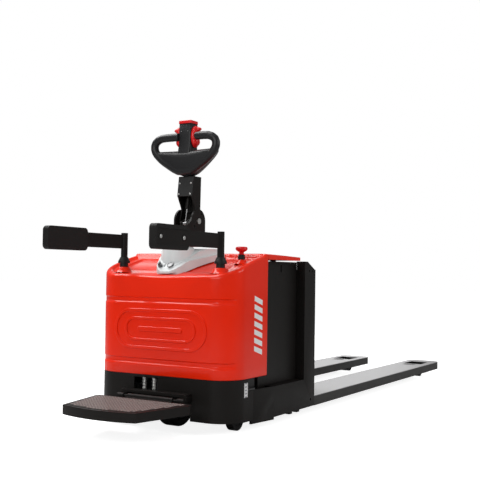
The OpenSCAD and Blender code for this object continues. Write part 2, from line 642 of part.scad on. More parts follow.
skirt_in = half - 22;
module skirt_plan(d) polygon([[-frame_t, half - d], [-skirt_bend, half - d], [-skirt_reach, skirt_in - d],
  [-skirt_reach, skirt_in - d - frame_t], [-skirt_bend, half - d - frame_t], [-frame_t, half - d - frame_t]]);
slope_drop = 36;
module side_frame(s) left_right(s) difference() {
  union() {
    // lower skirt, a little deeper at its front end
    up(fork_bot + 1, skirt_top) skirt_plan(0);
    intersection() { up(25, fork_bot + 2) skirt_plan(0); box(-skirt_reach - 1, -skirt_bend, 0, 400, 0, 100); }
    for (x = [-245, -175]) box(x, x + 26, half - frame_t - 14, half - 2, 26, fork_bot + 2);
    // shelf that joins the skirt to the battery tray
    box(-skirt_bend, -frame_t, panel_y - 4, half - 1, skirt_top - frame_t, skirt_top);
    // upright, a closed channel with a sloping top
    along_y(half - frame_t, half) polygon([[-upright_len, fork_bot + 1], [-frame_t, fork_bot + 1], [-frame_t, upright_top - slope_drop], [-82, upright_top], [-upright_len, upright_top]]);
    box(-upright_len, -upright_len + 6, panel_y, half - 1, skirt_top - 1, upright_top);
    along_y(panel_y - 1, half - 1) polygon([[-upright_len, upright_top - 6], [-82, upright_top - 6], [-frame_t, upright_top - slope_drop - 6], [-frame_t, upright_top - slope_drop], [-82, upright_top], [-upright_len, upright_top]]);
  }
  for (x = [-64, -32]) rod_y(x, upright_top - 43, 9, half - frame_t - 1, half + 1);
  rod_y(-41, 68, 12, half - frame_t - 1, half + 1);
}
module side_frame_left() color("#25211e") place() side_frame(1);
module side_frame_right() color("#25211e") place() side_frame(-1);

module fork_frame() color("#25211e") place() difference() {
  union() {
    // back wall at the fork heels
    box(-frame_t, 0, -half, half, fork_bot + 1, upright_top - slope_drop);
    // battery tray, its front wall and the fixed strip behind the lid
    box(hood_back + 3, -frame_t + 1, -panel_y + 4, panel_y - 4, skirt_top - frame_t, skirt_top);
    box(hood_back + 3, hood_back + 7, -panel_y + 4, panel_y - 4, skirt_top - 1, upright_top - 6);
    box(hood_back + 3 + lid_len + 4, -frame_t + 1, -panel_y + 4.5, panel_y - 4.5, upright_top - 55, upright_top - 49);
    box(hood_back + 3 + lid_len + 4, hood_back + 3 + lid_len + 10, -panel_y + 4.5, panel_y - 4.5, upright_top - 54, upright_top - 4);
    box(hood_back + 3 + lid_len + 4, -upright_len + 1, -panel_y + 4.5, panel_y - 4.5, upright_top - 10, upright_top - 4);
    box(-upright_len, -upright_len + 12, -panel_y + 1, panel_y - 1, upright_top - 10, upright_top - 4);
    // arm that rests on the lift rod
    box(cyl_x - 25, hood_back + 4, -40, 40, 520, 532);
    for (s = [-1, 1]) left_right(s) along_y(32, 40) polygon([[cyl_x - 20, 531], [hood_back + 4, 531], [hood_back + 4, 580]]);
    // hinge lugs of the lid
    for (y = [-200, 200]) along_y(y - 12, y + 12) {
      translate([lid_hinge_x, lid_hinge_z]) circle(6);
      translate([lid_hinge_x - 6, upright_top - 6]) square([12, lid_hinge_z - upright_top + 6]);
    }
  }
  for (y = [-200, 200]) rod_y(lid_hinge_x, lid_hinge_z, 6, y - 13, y + 13);
}
lid_front = hood_back + 3;
lid_back = lid_front + lid_len;
lid_hinge_x = lid_back + 10;
lid_hinge_z = upright_top + 8;
module battery_lid() color("#e02400") place() difference() {
  union() {
    intersection() {
      along_y(-hood_half, hood_half) polygon([[lid_front, hood_top - lid_t], [lid_front, hood_top], [lid_back, hood_top - 9], [lid_back, hood_top - lid_t]]);
      along_x(lid_front - 1, lid_back + 1) rrect(-hood_half, hood_half, hood_top - lid_t - 30, hood_top, 12);
    }
    for (s = [-1, 1]) left_right(s) for (y = [172, 213]) along_y(y, y + 14) {
      translate([lid_hinge_x, lid_hinge_z]) circle(6);
      translate([lid_back - 2, lid_hinge_z]) square([12, 6]);
    }
  }
  // hollow underside
  box(lid_front + 8, lid_back - 8, -hood_half + 8, hood_half - 8, hood_top - lid_t - 1, hood_top - lid_t + 10);
}
module side_panel(s) left_right(s) {
  difference() {
    box(lid_front, -upright_len, panel_y - 4, panel_y, skirt_top, upright_top - 4);
    box(lid_front + 196, lid_front + 204, panel_y - 5, panel_y + 1, upright_top - 50, upright_top - 18);
  }
  // turn latch at the upper back corner
  rod_y(-upright_len - 20, upright_top - 22, 16, panel_y - 1, panel_y + 4);
}
module side_panel_left() color("#191816") place() side_panel(1);
module side_panel_right() color("#191816") place() side_panel(-1);
module battery_pack() color("#3a3c3e") place() {
  difference() {
    box(lid_front + 10, -upright_len - 4, -panel_y + 12, panel_y - 12, skirt_top, upright_top - 60);
    box(lid_front + 20, -upright_len - 14, -panel_y + 22, panel_y - 22, upright_top - 66, upright_top - 59);
  }
  for (y = [-120, 120]) rod_z(lid_front + 80, y, 24, upright_top - 67, upright_top - 44);
}

// ---------------------------------------------------------------- load wheels and push rods

arm_out = load_wheel_w / 2 + 9;
module load_arm(s) translate([0, s * fork_y, 0]) {
  for (t = [-1, 1]) along_y(t > 0 ? arm_out - 8 : -arm_out, t > 0 ? arm_out : -arm_out + 8) {
    translate([arm_pivot_x, arm_pivot_z]) circle(15);
    translate([load_x, load_z]) circle(15);
    polygon([[arm_pivot_x, arm_pivot_z + 15], [load_x, load_z + 15], [load_x, load_z - 15], [arm_pivot_x, arm_pivot_z - 15]]);
  }
  rod_y(arm_pivot_x, arm_pivot_z, 21, -arm_out + 2, arm_out - 2);
  rod_y(load_x, load_z, 20, -arm_out, arm_out);
  along_y(-14, 14) translate([arm_pivot_x + 50, arm_pivot_z - 10]) square([80, 16]);
  box(arm_pivot_x + 60, arm_pivot_x + 84, -arm_out + 2, arm_out - 2, arm_pivot_z - 12, arm_pivot_z + 6);
  box(arm_pivot_x, arm_pivot_x + 62, -14, 14, arm_pivot_z - 5, arm_pivot_z + 5);
  // lever with the push rod's pin
  along_y(-5, 5) polygon([[arm_pivot_x - 8, arm_pivot_z], [arm_pivot_x + 10, arm_pivot_z],
    [arm_pivot_x + lever * sin(lever_lean) + 6, arm_pivot_z - lever * cos(lever_lean)],
    [arm_pivot_x + lever * sin(lever_lean) - 6, arm_pivot_z - lever * cos(lever_lean)]]);
  rod_y(arm_pivot_x + lever * sin(lever_lean), arm_pivot_z - lever * cos(lever_lean), 8, -14, 14);
}
module load_arm_left() color("#6c6c6c") place() load_arm(1);
module load_arm_right() color("#6c6c6c") place() load_arm(-1);
module load_wheel(s) translate([0, s * fork_y, 0]) difference() {
  rod_y(load_x, load_z, load_wheel_d, -load_wheel_w / 2, load_wheel_w / 2);
  rod_y(load_x, load_z, 20 + 2 * fit, -load_wheel_w, load_wheel_w);
  for (t = [-1, 1]) rod_y(load_x, load_z, load_wheel_d * 0.62, t > 0 ? load_wheel_w / 2 - 4 : -load_wheel_w / 2 - 1, t > 0 ? load_wheel_w / 2 + 1 : -load_wheel_w / 2 + 4);
}
module load_wheel_left() color("#2a2927") place() load_wheel(1);
module load_wheel_right() color("#2a2927") place() load_wheel(-1);
rod_end_x = arm_pivot_x + lever * sin(lever_lean);
rod_end_z = arm_pivot_z - lever * cos(lever_lean);
module push_rod(s) translate([0, s * fork_y, 0]) {
  translate([30, 0, rod_end_z]) rotate([0, 90, 0]) cylinder(d = push_rod_d, h = rod_end_x - 64);
  box(rod_end_x - 36, rod_end_x - 26, -12.5, 12.5, rod_end_z - 5, rod_end_z + 5);
  for (t = [-1, 1]) difference() {
    box(rod_end_x - 27, rod_end_x + 9, t > 0 ? 6.5 : -12.5, t > 0 ? 12.5 : -6.5, rod_end_z - 6, rod_end_z + 6.5);
    rod_y(rod_end_x, rod_end_z, 9.6, -20, 20);
  }
}
module push_rod_left() color("#808284") place() push_rod(1);
module push_rod_right() color("#808284") place() push_rod(-1);

// ---------------------------------------------------------------- casters

module caster_fork(s) translate([sx + 22, s * (panel_y - 38), 0]) {
  rod_z(0, 0, 24, 150, 186);
  rod_z(0, 0, 60, 152, 169.5);
  for (t = [-1, 1]) along_y(t > 0 ? caster_w / 2 + 1.5 : -caster_w / 2 - 6.5, t > 0 ? caster_w / 2 + 6.5 : -caster_w / 2 - 1.5) {
    translate([caster_trail, caster_d / 2]) circle(14);
    polygon([[caster_trail + 14, caster_d / 2], [28, 152], [-28, 152], [caster_trail - 14, caster_d / 2]]);
  }
  box(-28, 28, -caster_w / 2 - 6.5, caster_w / 2 + 6.5, 146, 153);
  rod_y(caster_trail, caster_d / 2, 12, -caster_w / 2 - 6.5, caster_w / 2 + 6.5);
}
module caster_wheel(s) translate([sx + 22, s * (panel_y - 38), 0]) difference() {
  rod_y(caster_trail, caster_d / 2, caster_d, -caster_w / 2, caster_w / 2);
  rod_y(caster_trail, caster_d / 2, 12 + 2 * fit, -caster_w, caster_w);
  for (t = [-1, 1]) rod_y(caster_trail, caster_d / 2, caster_d * 0.62, t > 0 ? caster_w / 2 - 4 : -caster_w / 2 - 1, t > 0 ? caster_w / 2 + 1 : -caster_w / 2 + 4);
}
module caster_fork_left() color("#3a3c3e") place() caster_fork(1);
module caster_fork_right() color("#3a3c3e") place() caster_fork(-1);
module caster_wheel_left() color("#1c1a1a") place() caster_wheel(1);
module caster_wheel_right() color("#1c1a1a") place() caster_wheel(-1);

chassis_skirt();
chassis_frame();
hood_cover();
console();
battery_gauge();
e_stop_base();
arm_socket_left();
arm_socket_right();
platform_bracket();
spring_left();
spring_right();
steer_bearing();
lift_cylinder();
key_switch();
emergency_stop();
turntable();
drive_motor();
gearbox();
tiller_bracket();
pivot_pin();
drive_hub();
drive_tyre();
gas_spring_rod();
gas_spring_tube();
tiller_arm();
arm_cover_plate();
cover_screws();
head_shell();
ring_handle();
rocker_left();
rocker_right();
belly_button();
side_arm_left();
arm_pad_left();
pad_bolts_left();
side_arm_right();
arm_pad_right();
pad_bolts_right();
platform_plate();
platform_mat();
fork_left();
fork_right();
fork_frame();
side_frame_left();
side_frame_right();
side_panel_left();
side_panel_right();
battery_pack();
lift_rod();
battery_lid();
load_arm_left();
load_arm_right();
load_wheel_left();
load_wheel_right();
push_rod_left();
push_rod_right();
caster_fork_left();
caster_fork_right();
caster_wheel_left();
caster_wheel_right();
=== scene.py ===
import bpy, bmesh, json, math
from mathutils import Matrix, Vector


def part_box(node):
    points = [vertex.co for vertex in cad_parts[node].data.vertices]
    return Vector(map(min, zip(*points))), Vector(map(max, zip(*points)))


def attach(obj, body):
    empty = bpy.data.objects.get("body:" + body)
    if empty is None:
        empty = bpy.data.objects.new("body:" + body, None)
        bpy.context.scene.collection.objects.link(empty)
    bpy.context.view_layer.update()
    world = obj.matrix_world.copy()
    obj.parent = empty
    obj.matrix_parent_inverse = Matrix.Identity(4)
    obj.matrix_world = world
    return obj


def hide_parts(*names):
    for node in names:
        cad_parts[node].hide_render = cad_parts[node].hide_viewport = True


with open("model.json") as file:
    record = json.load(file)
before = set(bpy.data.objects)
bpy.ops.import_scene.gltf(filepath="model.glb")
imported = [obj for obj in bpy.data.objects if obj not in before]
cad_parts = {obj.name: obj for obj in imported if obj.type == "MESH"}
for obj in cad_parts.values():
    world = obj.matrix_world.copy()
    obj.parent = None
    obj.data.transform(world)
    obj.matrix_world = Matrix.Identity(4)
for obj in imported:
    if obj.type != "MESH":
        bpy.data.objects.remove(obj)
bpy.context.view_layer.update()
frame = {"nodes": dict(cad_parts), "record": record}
nodes = frame["nodes"]
scene = bpy.context.scene
bodies = frame["record"]["behaviour"]["bodies"]
bodyOf = {node: body for body, members in bodies.items() for node in members}
slotOf = {part["node"]: part["material_slot"] for part in frame["record"]["subparts"]}

# camera and light; angles in degrees, places in metres
cameraSet = {"place": (-3.9168, -2.0476, 0.648), "heading": 30.8, "pitch": 2.2, "roll": 0.8,
             "lens": 62.918, "sensor": 36}


def makeCamera(view):
    heading, pitch, roll = (math.radians(view[key]) for key in ("heading", "pitch", "roll"))
    forward = Vector((math.cos(heading) * math.cos(pitch), math.sin(heading) * math.cos(pitch),
                      math.sin(pitch)))
    right = Vector((math.sin(heading), -math.cos(heading), 0))
    above = right.cross(forward)
    across = right * math.cos(roll) + above * math.sin(roll)
    upward = above * math.cos(roll) - right * math.sin(roll)
    data = bpy.data.cameras.new("camera")
    data.lens, data.sensor_width = view["lens"], view["sensor"]
    camera = bpy.data.objects.new("camera", data)
    turn = Matrix((across, upward, -forward)).transposed()
    camera.matrix_world = Matrix.Translation(view["place"]) @ turn.to_4x4()
    scene.collection.objects.link(camera)
    scene.camera = camera


lightSet = [
    {"name": "frontLight", "place": (-5.2, -0.2, 2.4), "aim": (-1.0, 0.0, 0.5), "size": 2.4, "power": 92},
    {"name": "sideLight", "place": (0.4, -5.0, 2.8), "aim": (-0.4, 0.0, 0.4), "size": 2.6, "power": 85},
    {"name": "topLight", "place": (-1.0, 2.0, 4.2), "aim": (-0.8, 0.0, 0.4), "size": 2.6, "power": 175},
    {"name": "backLight", "place": (3.6, 2.3, 1.5), "aim": (-0.9, 0.0, 0.7), "size": 3.4, "power": 55},
]
worldSet = {"seen": 1.0, "lit": 0.27}


def makeLights(lights):
    for light in lights:
        data = bpy.data.lights.new(light["name"], "AREA")
        data.energy, data.size, data.shape = light["power"], light["size"], "SQUARE"
        lamp = bpy.data.objects.new(light["name"], data)
        lamp.location = light["place"]
        lamp.visible_camera = False
        toAim = Vector(light["aim"]) - Vector(light["place"])
        lamp.rotation_euler = toAim.to_track_quat("-Z", "Y").to_euler()
        scene.collection.objects.link(lamp)


def makeWorld(strength):
    # white behind the truck, but only a little of it as light
    world = bpy.data.worlds.new("studio")
    scene.world = world
    world.use_nodes = True
    tree = world.node_tree
    back = tree.nodes["Background"]
    back.inputs["Color"].default_value = (1, 1, 1, 1)
    path, mix = tree.nodes.new("ShaderNodeLightPath"), tree.nodes.new("ShaderNodeMix")
    mix.inputs["A"].default_value, mix.inputs["B"].default_value = strength["lit"], strength["seen"]
    tree.links.new(path.outputs["Is Camera Ray"], mix.inputs["Factor"])
    tree.links.new(mix.outputs["Result"], back.inputs["Strength"])
    scene.view_settings.view_transform = "Standard"


makeCamera(cameraSet)
makeLights(lightSet)
makeWorld(worldSet)
print("camera and lights are in place")


# small helpers for shader nodes
def feed(tree, socket, value):
    # a value is a number, a colour or another node's output
    if isinstance(value, bpy.types.NodeSocket):
        tree.links.new(value, socket)
    else:
        socket.default_value = value


def addNode(tree, kind, values=None, **given):
    node = tree.nodes.new(kind)
    for key, value in given.items():
        setattr(node, key, value)
    for label, value in (values or {}).items():
        feed(tree, node.inputs[label], value)
    return node


def mathNode(tree, operation, *values, clamp=False):
    node = addNode(tree, "ShaderNodeMath", operation=operation, use_clamp=clamp)
    for socket, value in zip(node.inputs, values):
        feed(tree, socket, value)
    return node.outputs[0]


def mixColors(tree, first, second, factor, blend="MIX"):
    node = addNode(tree, "ShaderNodeMix", data_type="RGBA", blend_type=blend)
    for label, value in (("A", first), ("B", second), ("Factor", factor)):
        feed(tree, node.inputs[label], value)
    return node.outputs["Result"]


def axesOf(tree, vector):
    apart = addNode(tree, "ShaderNodeSeparateXYZ")
    feed(tree, apart.inputs[0], vector)
    return apart.outputs


def newGroup(name, inputs, outputs):
    group = bpy.data.node_groups.new(name, "ShaderNodeTree")
    for label, kind, value in inputs:
        socket = group.interface.new_socket(label, in_out="INPUT", socket_type="NodeSocket" + kind)
        if value is not None:
            socket.default_value = value
    for label, kind in outputs:
        group.interface.new_socket(label, in_out="OUTPUT", socket_type="NodeSocket" + kind)
    start, end = group.nodes.new("NodeGroupInput"), group.nodes.new("NodeGroupOutput")
    return group, start.outputs, end.inputs


def grainGroup():
    # speckle of a moulded or powder-coated skin, with a slow change in gloss
    group, given, out = newGroup(
        "fineGrain",
        [("Vector", "Vector", None), ("Scale", "Float", 900.0), ("Rough", "Float", 0.4),
         ("Vary", "Float", 0.08)],
        [("Height", "Float"), ("Roughness", "Float"), ("Tone", "Float")])
    fine = addNode(group, "ShaderNodeTexNoise",
                   {"Vector": given["Vector"], "Scale": given["Scale"], "Detail": 2.0, "Roughness": 0.6})
    slow = addNode(group, "ShaderNodeTexNoise",
                   {"Vector": given["Vector"], "Scale": 7.0, "Detail": 3.0, "Roughness": 0.55})
    shifted = mathNode(group, "SUBTRACT", slow.outputs["Fac"], 0.5)
    spread = mathNode(group, "MULTIPLY", shifted, given["Vary"])
    doubled = mathNode(group, "MULTIPLY", spread, 2.0)
    feed(group, out["Height"], fine.outputs["Fac"])
    feed(group, out["Roughness"], mathNode(group, "ADD", given["Rough"], doubled, clamp=True))
    feed(group, out["Tone"], slow.outputs["Fac"])
    return group


def dustGroup():
    # pale dust that gathers on faces that look up
    group, given, out = newGroup(
        "settledDust",
        [("Color", "Color", (0.5, 0.5, 0.5, 1)), ("Dust", "Color", (0.45, 0.43, 0.40, 1)),
         ("Amount", "Float", 0.15), ("Vector", "Vector", None)],
        [("Color", "Color")])
    shape = addNode(group, "ShaderNodeNewGeometry")
    noise = addNode(group, "ShaderNodeTexNoise",
                    {"Vector": given["Vector"], "Scale": 11.0, "Detail": 5.0, "Roughness": 0.65})
    upward = mathNode(group, "MAXIMUM", axesOf(group, shape.outputs["Normal"])["Z"], 0.0)
    patch = mathNode(group, "MULTIPLY", upward, noise.outputs["Fac"])
    share = mathNode(group, "MULTIPLY", patch, given["Amount"], clamp=True)
    feed(group, out["Color"], mixColors(group, given["Color"], given["Dust"], share))
    return group


def wearGroup():
    # thin scuffs along one direction, and rubbed patches
    group, given, out = newGroup(
        "scuffs",
        [("Vector", "Vector", None), ("Amount", "Float", 0.5), ("Stretch", "Vector", (3.0, 60.0, 60.0))],
        [("Mask", "Float")])
    mapping = addNode(group, "ShaderNodeMapping", {"Vector": given["Vector"], "Scale": given["Stretch"]})
    streak = addNode(group, "ShaderNodeTexNoise",
                     {"Vector": mapping.outputs[0], "Scale": 6.0, "Detail": 6.0, "Roughness": 0.7})
    patch = addNode(group, "ShaderNodeTexNoise", {"Vector": given["Vector"], "Scale": 3.5, "Detail": 2.0})
    ramp = addNode(group, "ShaderNodeValToRGB")
    ramp.color_ramp.elements[0].position, ramp.color_ramp.elements[1].position = 0.56, 0.70
    feed(group, ramp.inputs[0], streak.outputs["Fac"])
    both = mathNode(group, "MULTIPLY", ramp.outputs[0], patch.outputs["Fac"])
    feed(group, out["Mask"], mathNode(group, "MULTIPLY", both, given["Amount"], clamp=True))
    return group


grain, dust, scuff = grainGroup(), dustGroup(), wearGroup()


def startMaterial(name, **values):
    material = bpy.data.materials.new(name)
    material.use_nodes = True
    tree = material.node_tree
    shader = tree.nodes["Principled BSDF"]
    for label, value in values.items():
        shader.inputs[label.replace("_", " ")].default_value = value
    place = tree.nodes.new("ShaderNodeTexCoord").outputs["Object"]
    return material, tree, shader.inputs, place


def useGroup(tree, group, vector, **values):
    node = addNode(tree, "ShaderNodeGroup", node_tree=group)
    for label, value in dict(values, Vector=vector).items():
        feed(tree, node.inputs[label], value)
    return node.outputs


def bumpNode(tree, height, strength):
    values = {"Height": height, "Strength": strength, "Distance": 0.001}
    return addNode(tree, "ShaderNodeBump", values).outputs["Normal"]


def skinMaterial(name, color, rough, vary, grainScale, bump, metallic=0.0, coat=0.0, dusty=0.12,
                 scuffed=0.0, scuffColor=(0.5, 0.5, 0.5, 1), specular=0.5, tone=0.1):
    # one even finish with grain, a slow change of tone, scuffs where asked, and dust
    material, tree, shader, place = startMaterial(
        name, Metallic=metallic, Coat_Weight=coat, Coat_Roughness=0.1, Specular_IOR_Level=specular)
    skin = useGroup(tree, grain, place, Scale=grainScale, Rough=rough, Vary=vary)
    darker, lighter = (tuple(min(1, c * k) for c in color) + (1,) for k in (1 - tone, 1 + tone))
    shown = mixColors(tree, darker, lighter, skin["Tone"])
    if scuffed:
        marks = useGroup(tree, scuff, place, Amount=scuffed)
        shown = mixColors(tree, shown, scuffColor, marks["Mask"])
    cover = useGroup(tree, dust, place, Amount=dusty, Color=shown)
    feed(tree, shader["Base Color"], cover["Color"])
    feed(tree, shader["Roughness"], skin["Roughness"])
    feed(tree, shader["Normal"], bumpNode(tree, skin["Height"], bump))
    return material


# after each name: colour, roughness, its change, scale of the grain, its height
finishes = {
    "steel_black": skinMaterial("blackPowderCoat", (0.0092, 0.0080, 0.0072), 0.44, 0.08, 700, 0.10,
                                dusty=0.012, scuffed=0.08, scuffColor=(0.05, 0.046, 0.042, 1), specular=0.14),
    "steel_dark": skinMaterial("darkCoatedSteel", (0.022, 0.022, 0.022), 0.45, 0.08, 700, 0.10, dusty=0.03,
                               specular=0.25),
    "fork_grey": skinMaterial("forkTopPaint", (0.50, 0.49, 0.50), 0.38, 0.10, 500, 0.05, coat=0.1, dusty=0.08,
                              scuffed=0.30, scuffColor=(0.36, 0.355, 0.36, 1), specular=0.3),
    "console_grey": skinMaterial("consoleMoulding", (0.60, 0.62, 0.62), 0.44, 0.05, 900, 0.03, dusty=0.05,
                                 specular=0.3),
    "plastic_black": skinMaterial("headMoulding", (0.0120, 0.0120, 0.0130), 0.38, 0.05, 900, 0.03,
                                  dusty=0.008, specular=0.28),
    "control_red": skinMaterial("controlRed", (0.66, 0.008, 0.009), 0.34, 0.04, 600, 0.01, coat=0.10,
                                dusty=0.02, specular=0.3),
    "rubber_black": skinMaterial("softPad", (0.0095, 0.0090, 0.0085), 0.55, 0.06, 1300, 0.16, dusty=0.010,
                                 specular=0.16),
    "zinc": skinMaterial("zincPlate", (0.72, 0.72, 0.70), 0.30, 0.10, 400, 0.04, metallic=1.0, dusty=0.04),
    "cast_iron": skinMaterial("paintedCasting", (0.030, 0.032, 0.034), 0.55, 0.10, 260, 0.35, dusty=0.06,
                              specular=0.25),
    "tyre_black": skinMaterial("wheelTread", (0.012, 0.011, 0.011), 0.52, 0.08, 500, 0.12, dusty=0.04,
                               scuffed=0.25, scuffColor=(0.05, 0.047, 0.045, 1), specular=0.2),
    "display": skinMaterial("gaugeFace", (0.11, 0.115, 0.12), 0.30, 0.05, 900, 0.02, coat=0.3, dusty=0.02),
    "battery_grey": skinMaterial("batteryCase", (0.035, 0.037, 0.040), 0.5, 0.08, 600, 0.12, dusty=0.06,
                                 specular=0.25),
}

# paints of the pieces with two finishes: colour, roughness, metallic
coatBlack = ((0.0092, 0.0080, 0.0072), 0.44, 0.0)
coatRed = ((0.70, 0.019, 0.0016), 0.34, 0.0)
brightZinc = ((0.70, 0.70, 0.68), 0.30, 1.0)
topGrey = ((0.33, 0.325, 0.33), 0.42, 0.0)


def bandMaterial(name, inside, outside, axis, low, high):
    # two finishes on one piece, split by its place along one axis
    material, tree, shader, place = startMaterial(name, Specular_IOR_Level=0.28)
    skin = useGroup(tree, grain, place, Scale=700.0, Rough=0.0, Vary=0.05)
    along = mathNode(tree, "ABSOLUTE", axesOf(tree, place)[axis])
    mask = mathNode(tree, "MULTIPLY", mathNode(tree, "GREATER_THAN", along, low),
                    mathNode(tree, "LESS_THAN", along, high))
    color = mixColors(tree, outside[0] + (1,), inside[0] + (1,), mask)
    shares = [mathNode(tree, "MULTIPLY", mask, inside[k] - outside[k]) for k in (1, 2)]
    gloss, metal = (mathNode(tree, "ADD", share, outside[k]) for share, k in zip(shares, (1, 2)))
    marks = useGroup(tree, scuff, place, Amount=0.22)
    feed(tree, shader["Base Color"], mixColors(tree, color, (0.7, 0.7, 0.7, 1), marks["Mask"], "MULTIPLY"))
    feed(tree, shader["Roughness"], mathNode(tree, "ADD", gloss, skin["Roughness"], clamp=True))
    feed(tree, shader["Metallic"], metal)
    feed(tree, shader["Normal"], bumpNode(tree, skin["Height"], 0.08))
    return material


hoodPaint = {"red": (0.86, 0.0195, 0.0003), "dark": 0.93, "white": (0.82, 0.82, 0.81), "skin": 0.0006,
             "back": 0.076, "width": 0.066, "low": 0.318, "high": 0.552, "pitch": 0.034, "bar": 0.62,
             "slant": 0.30}


def hoodMaterial(paint):
    # glossy red moulding with a plain stripe decal on both sides: slanted bars in an upright box
    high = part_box("hood_cover")[1]
    material, tree, shader, place = startMaterial(
        "hoodRed", Coat_Weight=0.50, Coat_Roughness=0.13, Specular_IOR_Level=0.05)
    skin = useGroup(tree, grain, place, Scale=240.0, Rough=0.34, Vary=0.05)
    x, y, z = axesOf(tree, place)
    centre = high.x - paint["back"]
    base = paint["low"] + centre * paint["slant"]
    offCentre = mathNode(tree, "ABSOLUTE", mathNode(tree, "SUBTRACT", x, centre))
    tilted = mathNode(tree, "ADD", z, mathNode(tree, "MULTIPLY", x, paint["slant"]))
    turns = mathNode(tree, "DIVIDE", mathNode(tree, "SUBTRACT", tilted, base), paint["pitch"])
    mask = mathNode(tree, "GREATER_THAN", mathNode(tree, "ABSOLUTE", y), high.y - paint["skin"])
    for part in (mathNode(tree, "LESS_THAN", offCentre, paint["width"] / 2),
                 mathNode(tree, "GREATER_THAN", tilted, base),
                 mathNode(tree, "LESS_THAN", tilted, base + paint["high"] - paint["low"]),
                 mathNode(tree, "LESS_THAN", mathNode(tree, "FRACT", turns), paint["bar"])):
        mask = mathNode(tree, "MULTIPLY", mask, part)
    darkRed = tuple(c * paint["dark"] for c in paint["red"])
    red = mixColors(tree, darkRed + (1,), paint["red"] + (1,), skin["Tone"])
    striped = mixColors(tree, red, paint["white"] + (1,), mask)
    feed(tree, shader["Base Color"], useGroup(tree, dust, place, Amount=0.03, Color=striped)["Color"])
    feed(tree, shader["Roughness"], skin["Roughness"])
    feed(tree, shader["Normal"], bumpNode(tree, skin["Height"], 0.03))
    return material


# where pieces with two finishes change over; "beyond" lies outside every piece
splitSet = {"pinEnd": 0.0005, "forkTop": 0.0025, "socketRing": (0.0165, 0.0335), "stopFoot": 0.0245,
            "beyond": 1}


def splitFinishes(split):
    far = split["beyond"]
    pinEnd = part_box("tiller_bracket")[1].y - split["pinEnd"]
    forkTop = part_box("fork_left")[1].z - split["forkTop"]
    special = {"gas_spring_rod": skinMaterial("rodSteel", (0.26, 0.26, 0.26), 0.38, 0.06, 400, 0.04,
                                              metallic=1.0, dusty=0.03),
               "pivot_pin": bandMaterial("pinEnds", brightZinc, coatBlack, 1, pinEnd, far),
               "e_stop_base": bandMaterial("stopBase", coatRed, coatBlack, 2, 0,
                                           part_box("e_stop_base")[0].z + split["stopFoot"])}
    for side in ("left", "right"):
        fork, socket = "fork_" + side, "arm_socket_" + side
        ringLow, ringHigh = (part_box(socket)[0].z + z for z in split["socketRing"])
        special[fork] = bandMaterial(fork, topGrey, coatBlack, 2, forkTop, far)
        special[socket] = bandMaterial("socket_" + side, brightZinc, coatBlack, 2, ringLow, ringHigh)
    return special


finishes["hood_red"] = hoodMaterial(hoodPaint)
special = splitFinishes(splitSet)
for name, node in nodes.items():
    node.data.materials.clear()
    node.data.materials.append(special.get(name) or finishes[slotOf[name]])
print("finishes are ready")


# helpers for the pieces
def keepPiece(name, bm, node, material=None, sharp=38, replace=True):
    # one object at the origin, riding where its CAD node rides
    mesh = bpy.data.meshes.new(name)
    bm.to_mesh(mesh)
    bm.free()
    piece = bpy.data.objects.new(name, mesh)
    scene.collection.objects.link(piece)
    mesh.materials.append(material or finishes[slotOf[node]])
    mesh.polygons.foreach_set("use_smooth", [True] * len(mesh.polygons))
    mesh.set_sharp_from_angle(angle=math.radians(sharp))
    if replace:
        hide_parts(node)
    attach(piece, bodyOf[node])
    return piece


def copyOf(node):
    bm = bmesh.new()
    bm.from_mesh(nodes[node].data)
    bmesh.ops.remove_doubles(bm, verts=bm.verts, dist=2e-6)
    bmesh.ops.dissolve_limit(bm, angle_limit=math.radians(0.8), verts=bm.verts, edges=bm.edges)
    return bm


def addBevel(piece, width, segments, angle=30):
    bevel = piece.modifiers.new("edges", "BEVEL")
    bevel.width, bevel.segments = width, segments
    bevel.limit_method, bevel.angle_limit = "ANGLE", math.radians(angle)
    bevel.use_clamp_overlap, bevel.harden_normals, bevel.miter_outer = True, True, "MITER_ARC"


def softened(node, width, segments, material=None):
    # the CAD shape with its sharp edges broken, so that they catch the light
    piece = keepPiece(node + "Finished", copyOf(node), node, material=material, sharp=30)
    addBevel(piece, width, segments)


def middleOf(node):
    low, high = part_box(node)
    return (low + high) / 2


def smoothStep(start, end, value):
    t = min(1, max(0, (value - start) / (end - start)))
    return t * t * (3 - 2 * t)


def loft(bm, loops, closed=True, capStart=False, capEnd=False):
    # joins loops of equal length with quads
    made = [[bm.verts.new(point) for point in loop] for loop in loops]
    count = len(made[0])
    for first, second in zip(made, made[1:]):
        for i in range(count if closed else count - 1):
            j = (i + 1) % count
            bm.faces.new((first[i], first[j], second[j], second[i]))
    if capStart:
        bm.faces.new(list(reversed(made[0])))
    if capEnd:
        bm.faces.new(made[-1])


def tube(bm, points, radius, sides):
    # round bar along points that lie in one plane across the truck
    normal = Vector((1, 0, 0))
    turns = [2 * math.pi * k / sides for k in range(sides)]
    loops = []
    for i, point in enumerate(points):
        along = (points[min(i + 1, len(points) - 1)] - points[max(i - 1, 0)]).normalized()
        side = along.cross(normal).normalized()
        loops.append([point + radius * (side * math.cos(a) + normal * math.sin(a)) for a in turns])
    loft(bm, loops, capStart=True, capEnd=True)


def addTurned(bm, profile, centre, steps):
    # turns a line of (radius, height) pairs about an upright axis
    line = [bm.verts.new(centre + Vector((radius, 0, height))) for radius, height in profile]
    edges = [bm.edges.new(pair) for pair in zip(line, line[1:])]
    bmesh.ops.spin(bm, geom=line + edges, cent=centre, axis=(0, 0, 1), angle=2 * math.pi, steps=steps,
                   use_merge=True)


def addBlock(bm, place, size):
    made = bmesh.ops.create_cube(bm, size=1)
    bmesh.ops.transform(bm, matrix=place @ Matrix.Diagonal((*size, 1)), verts=made["verts"])


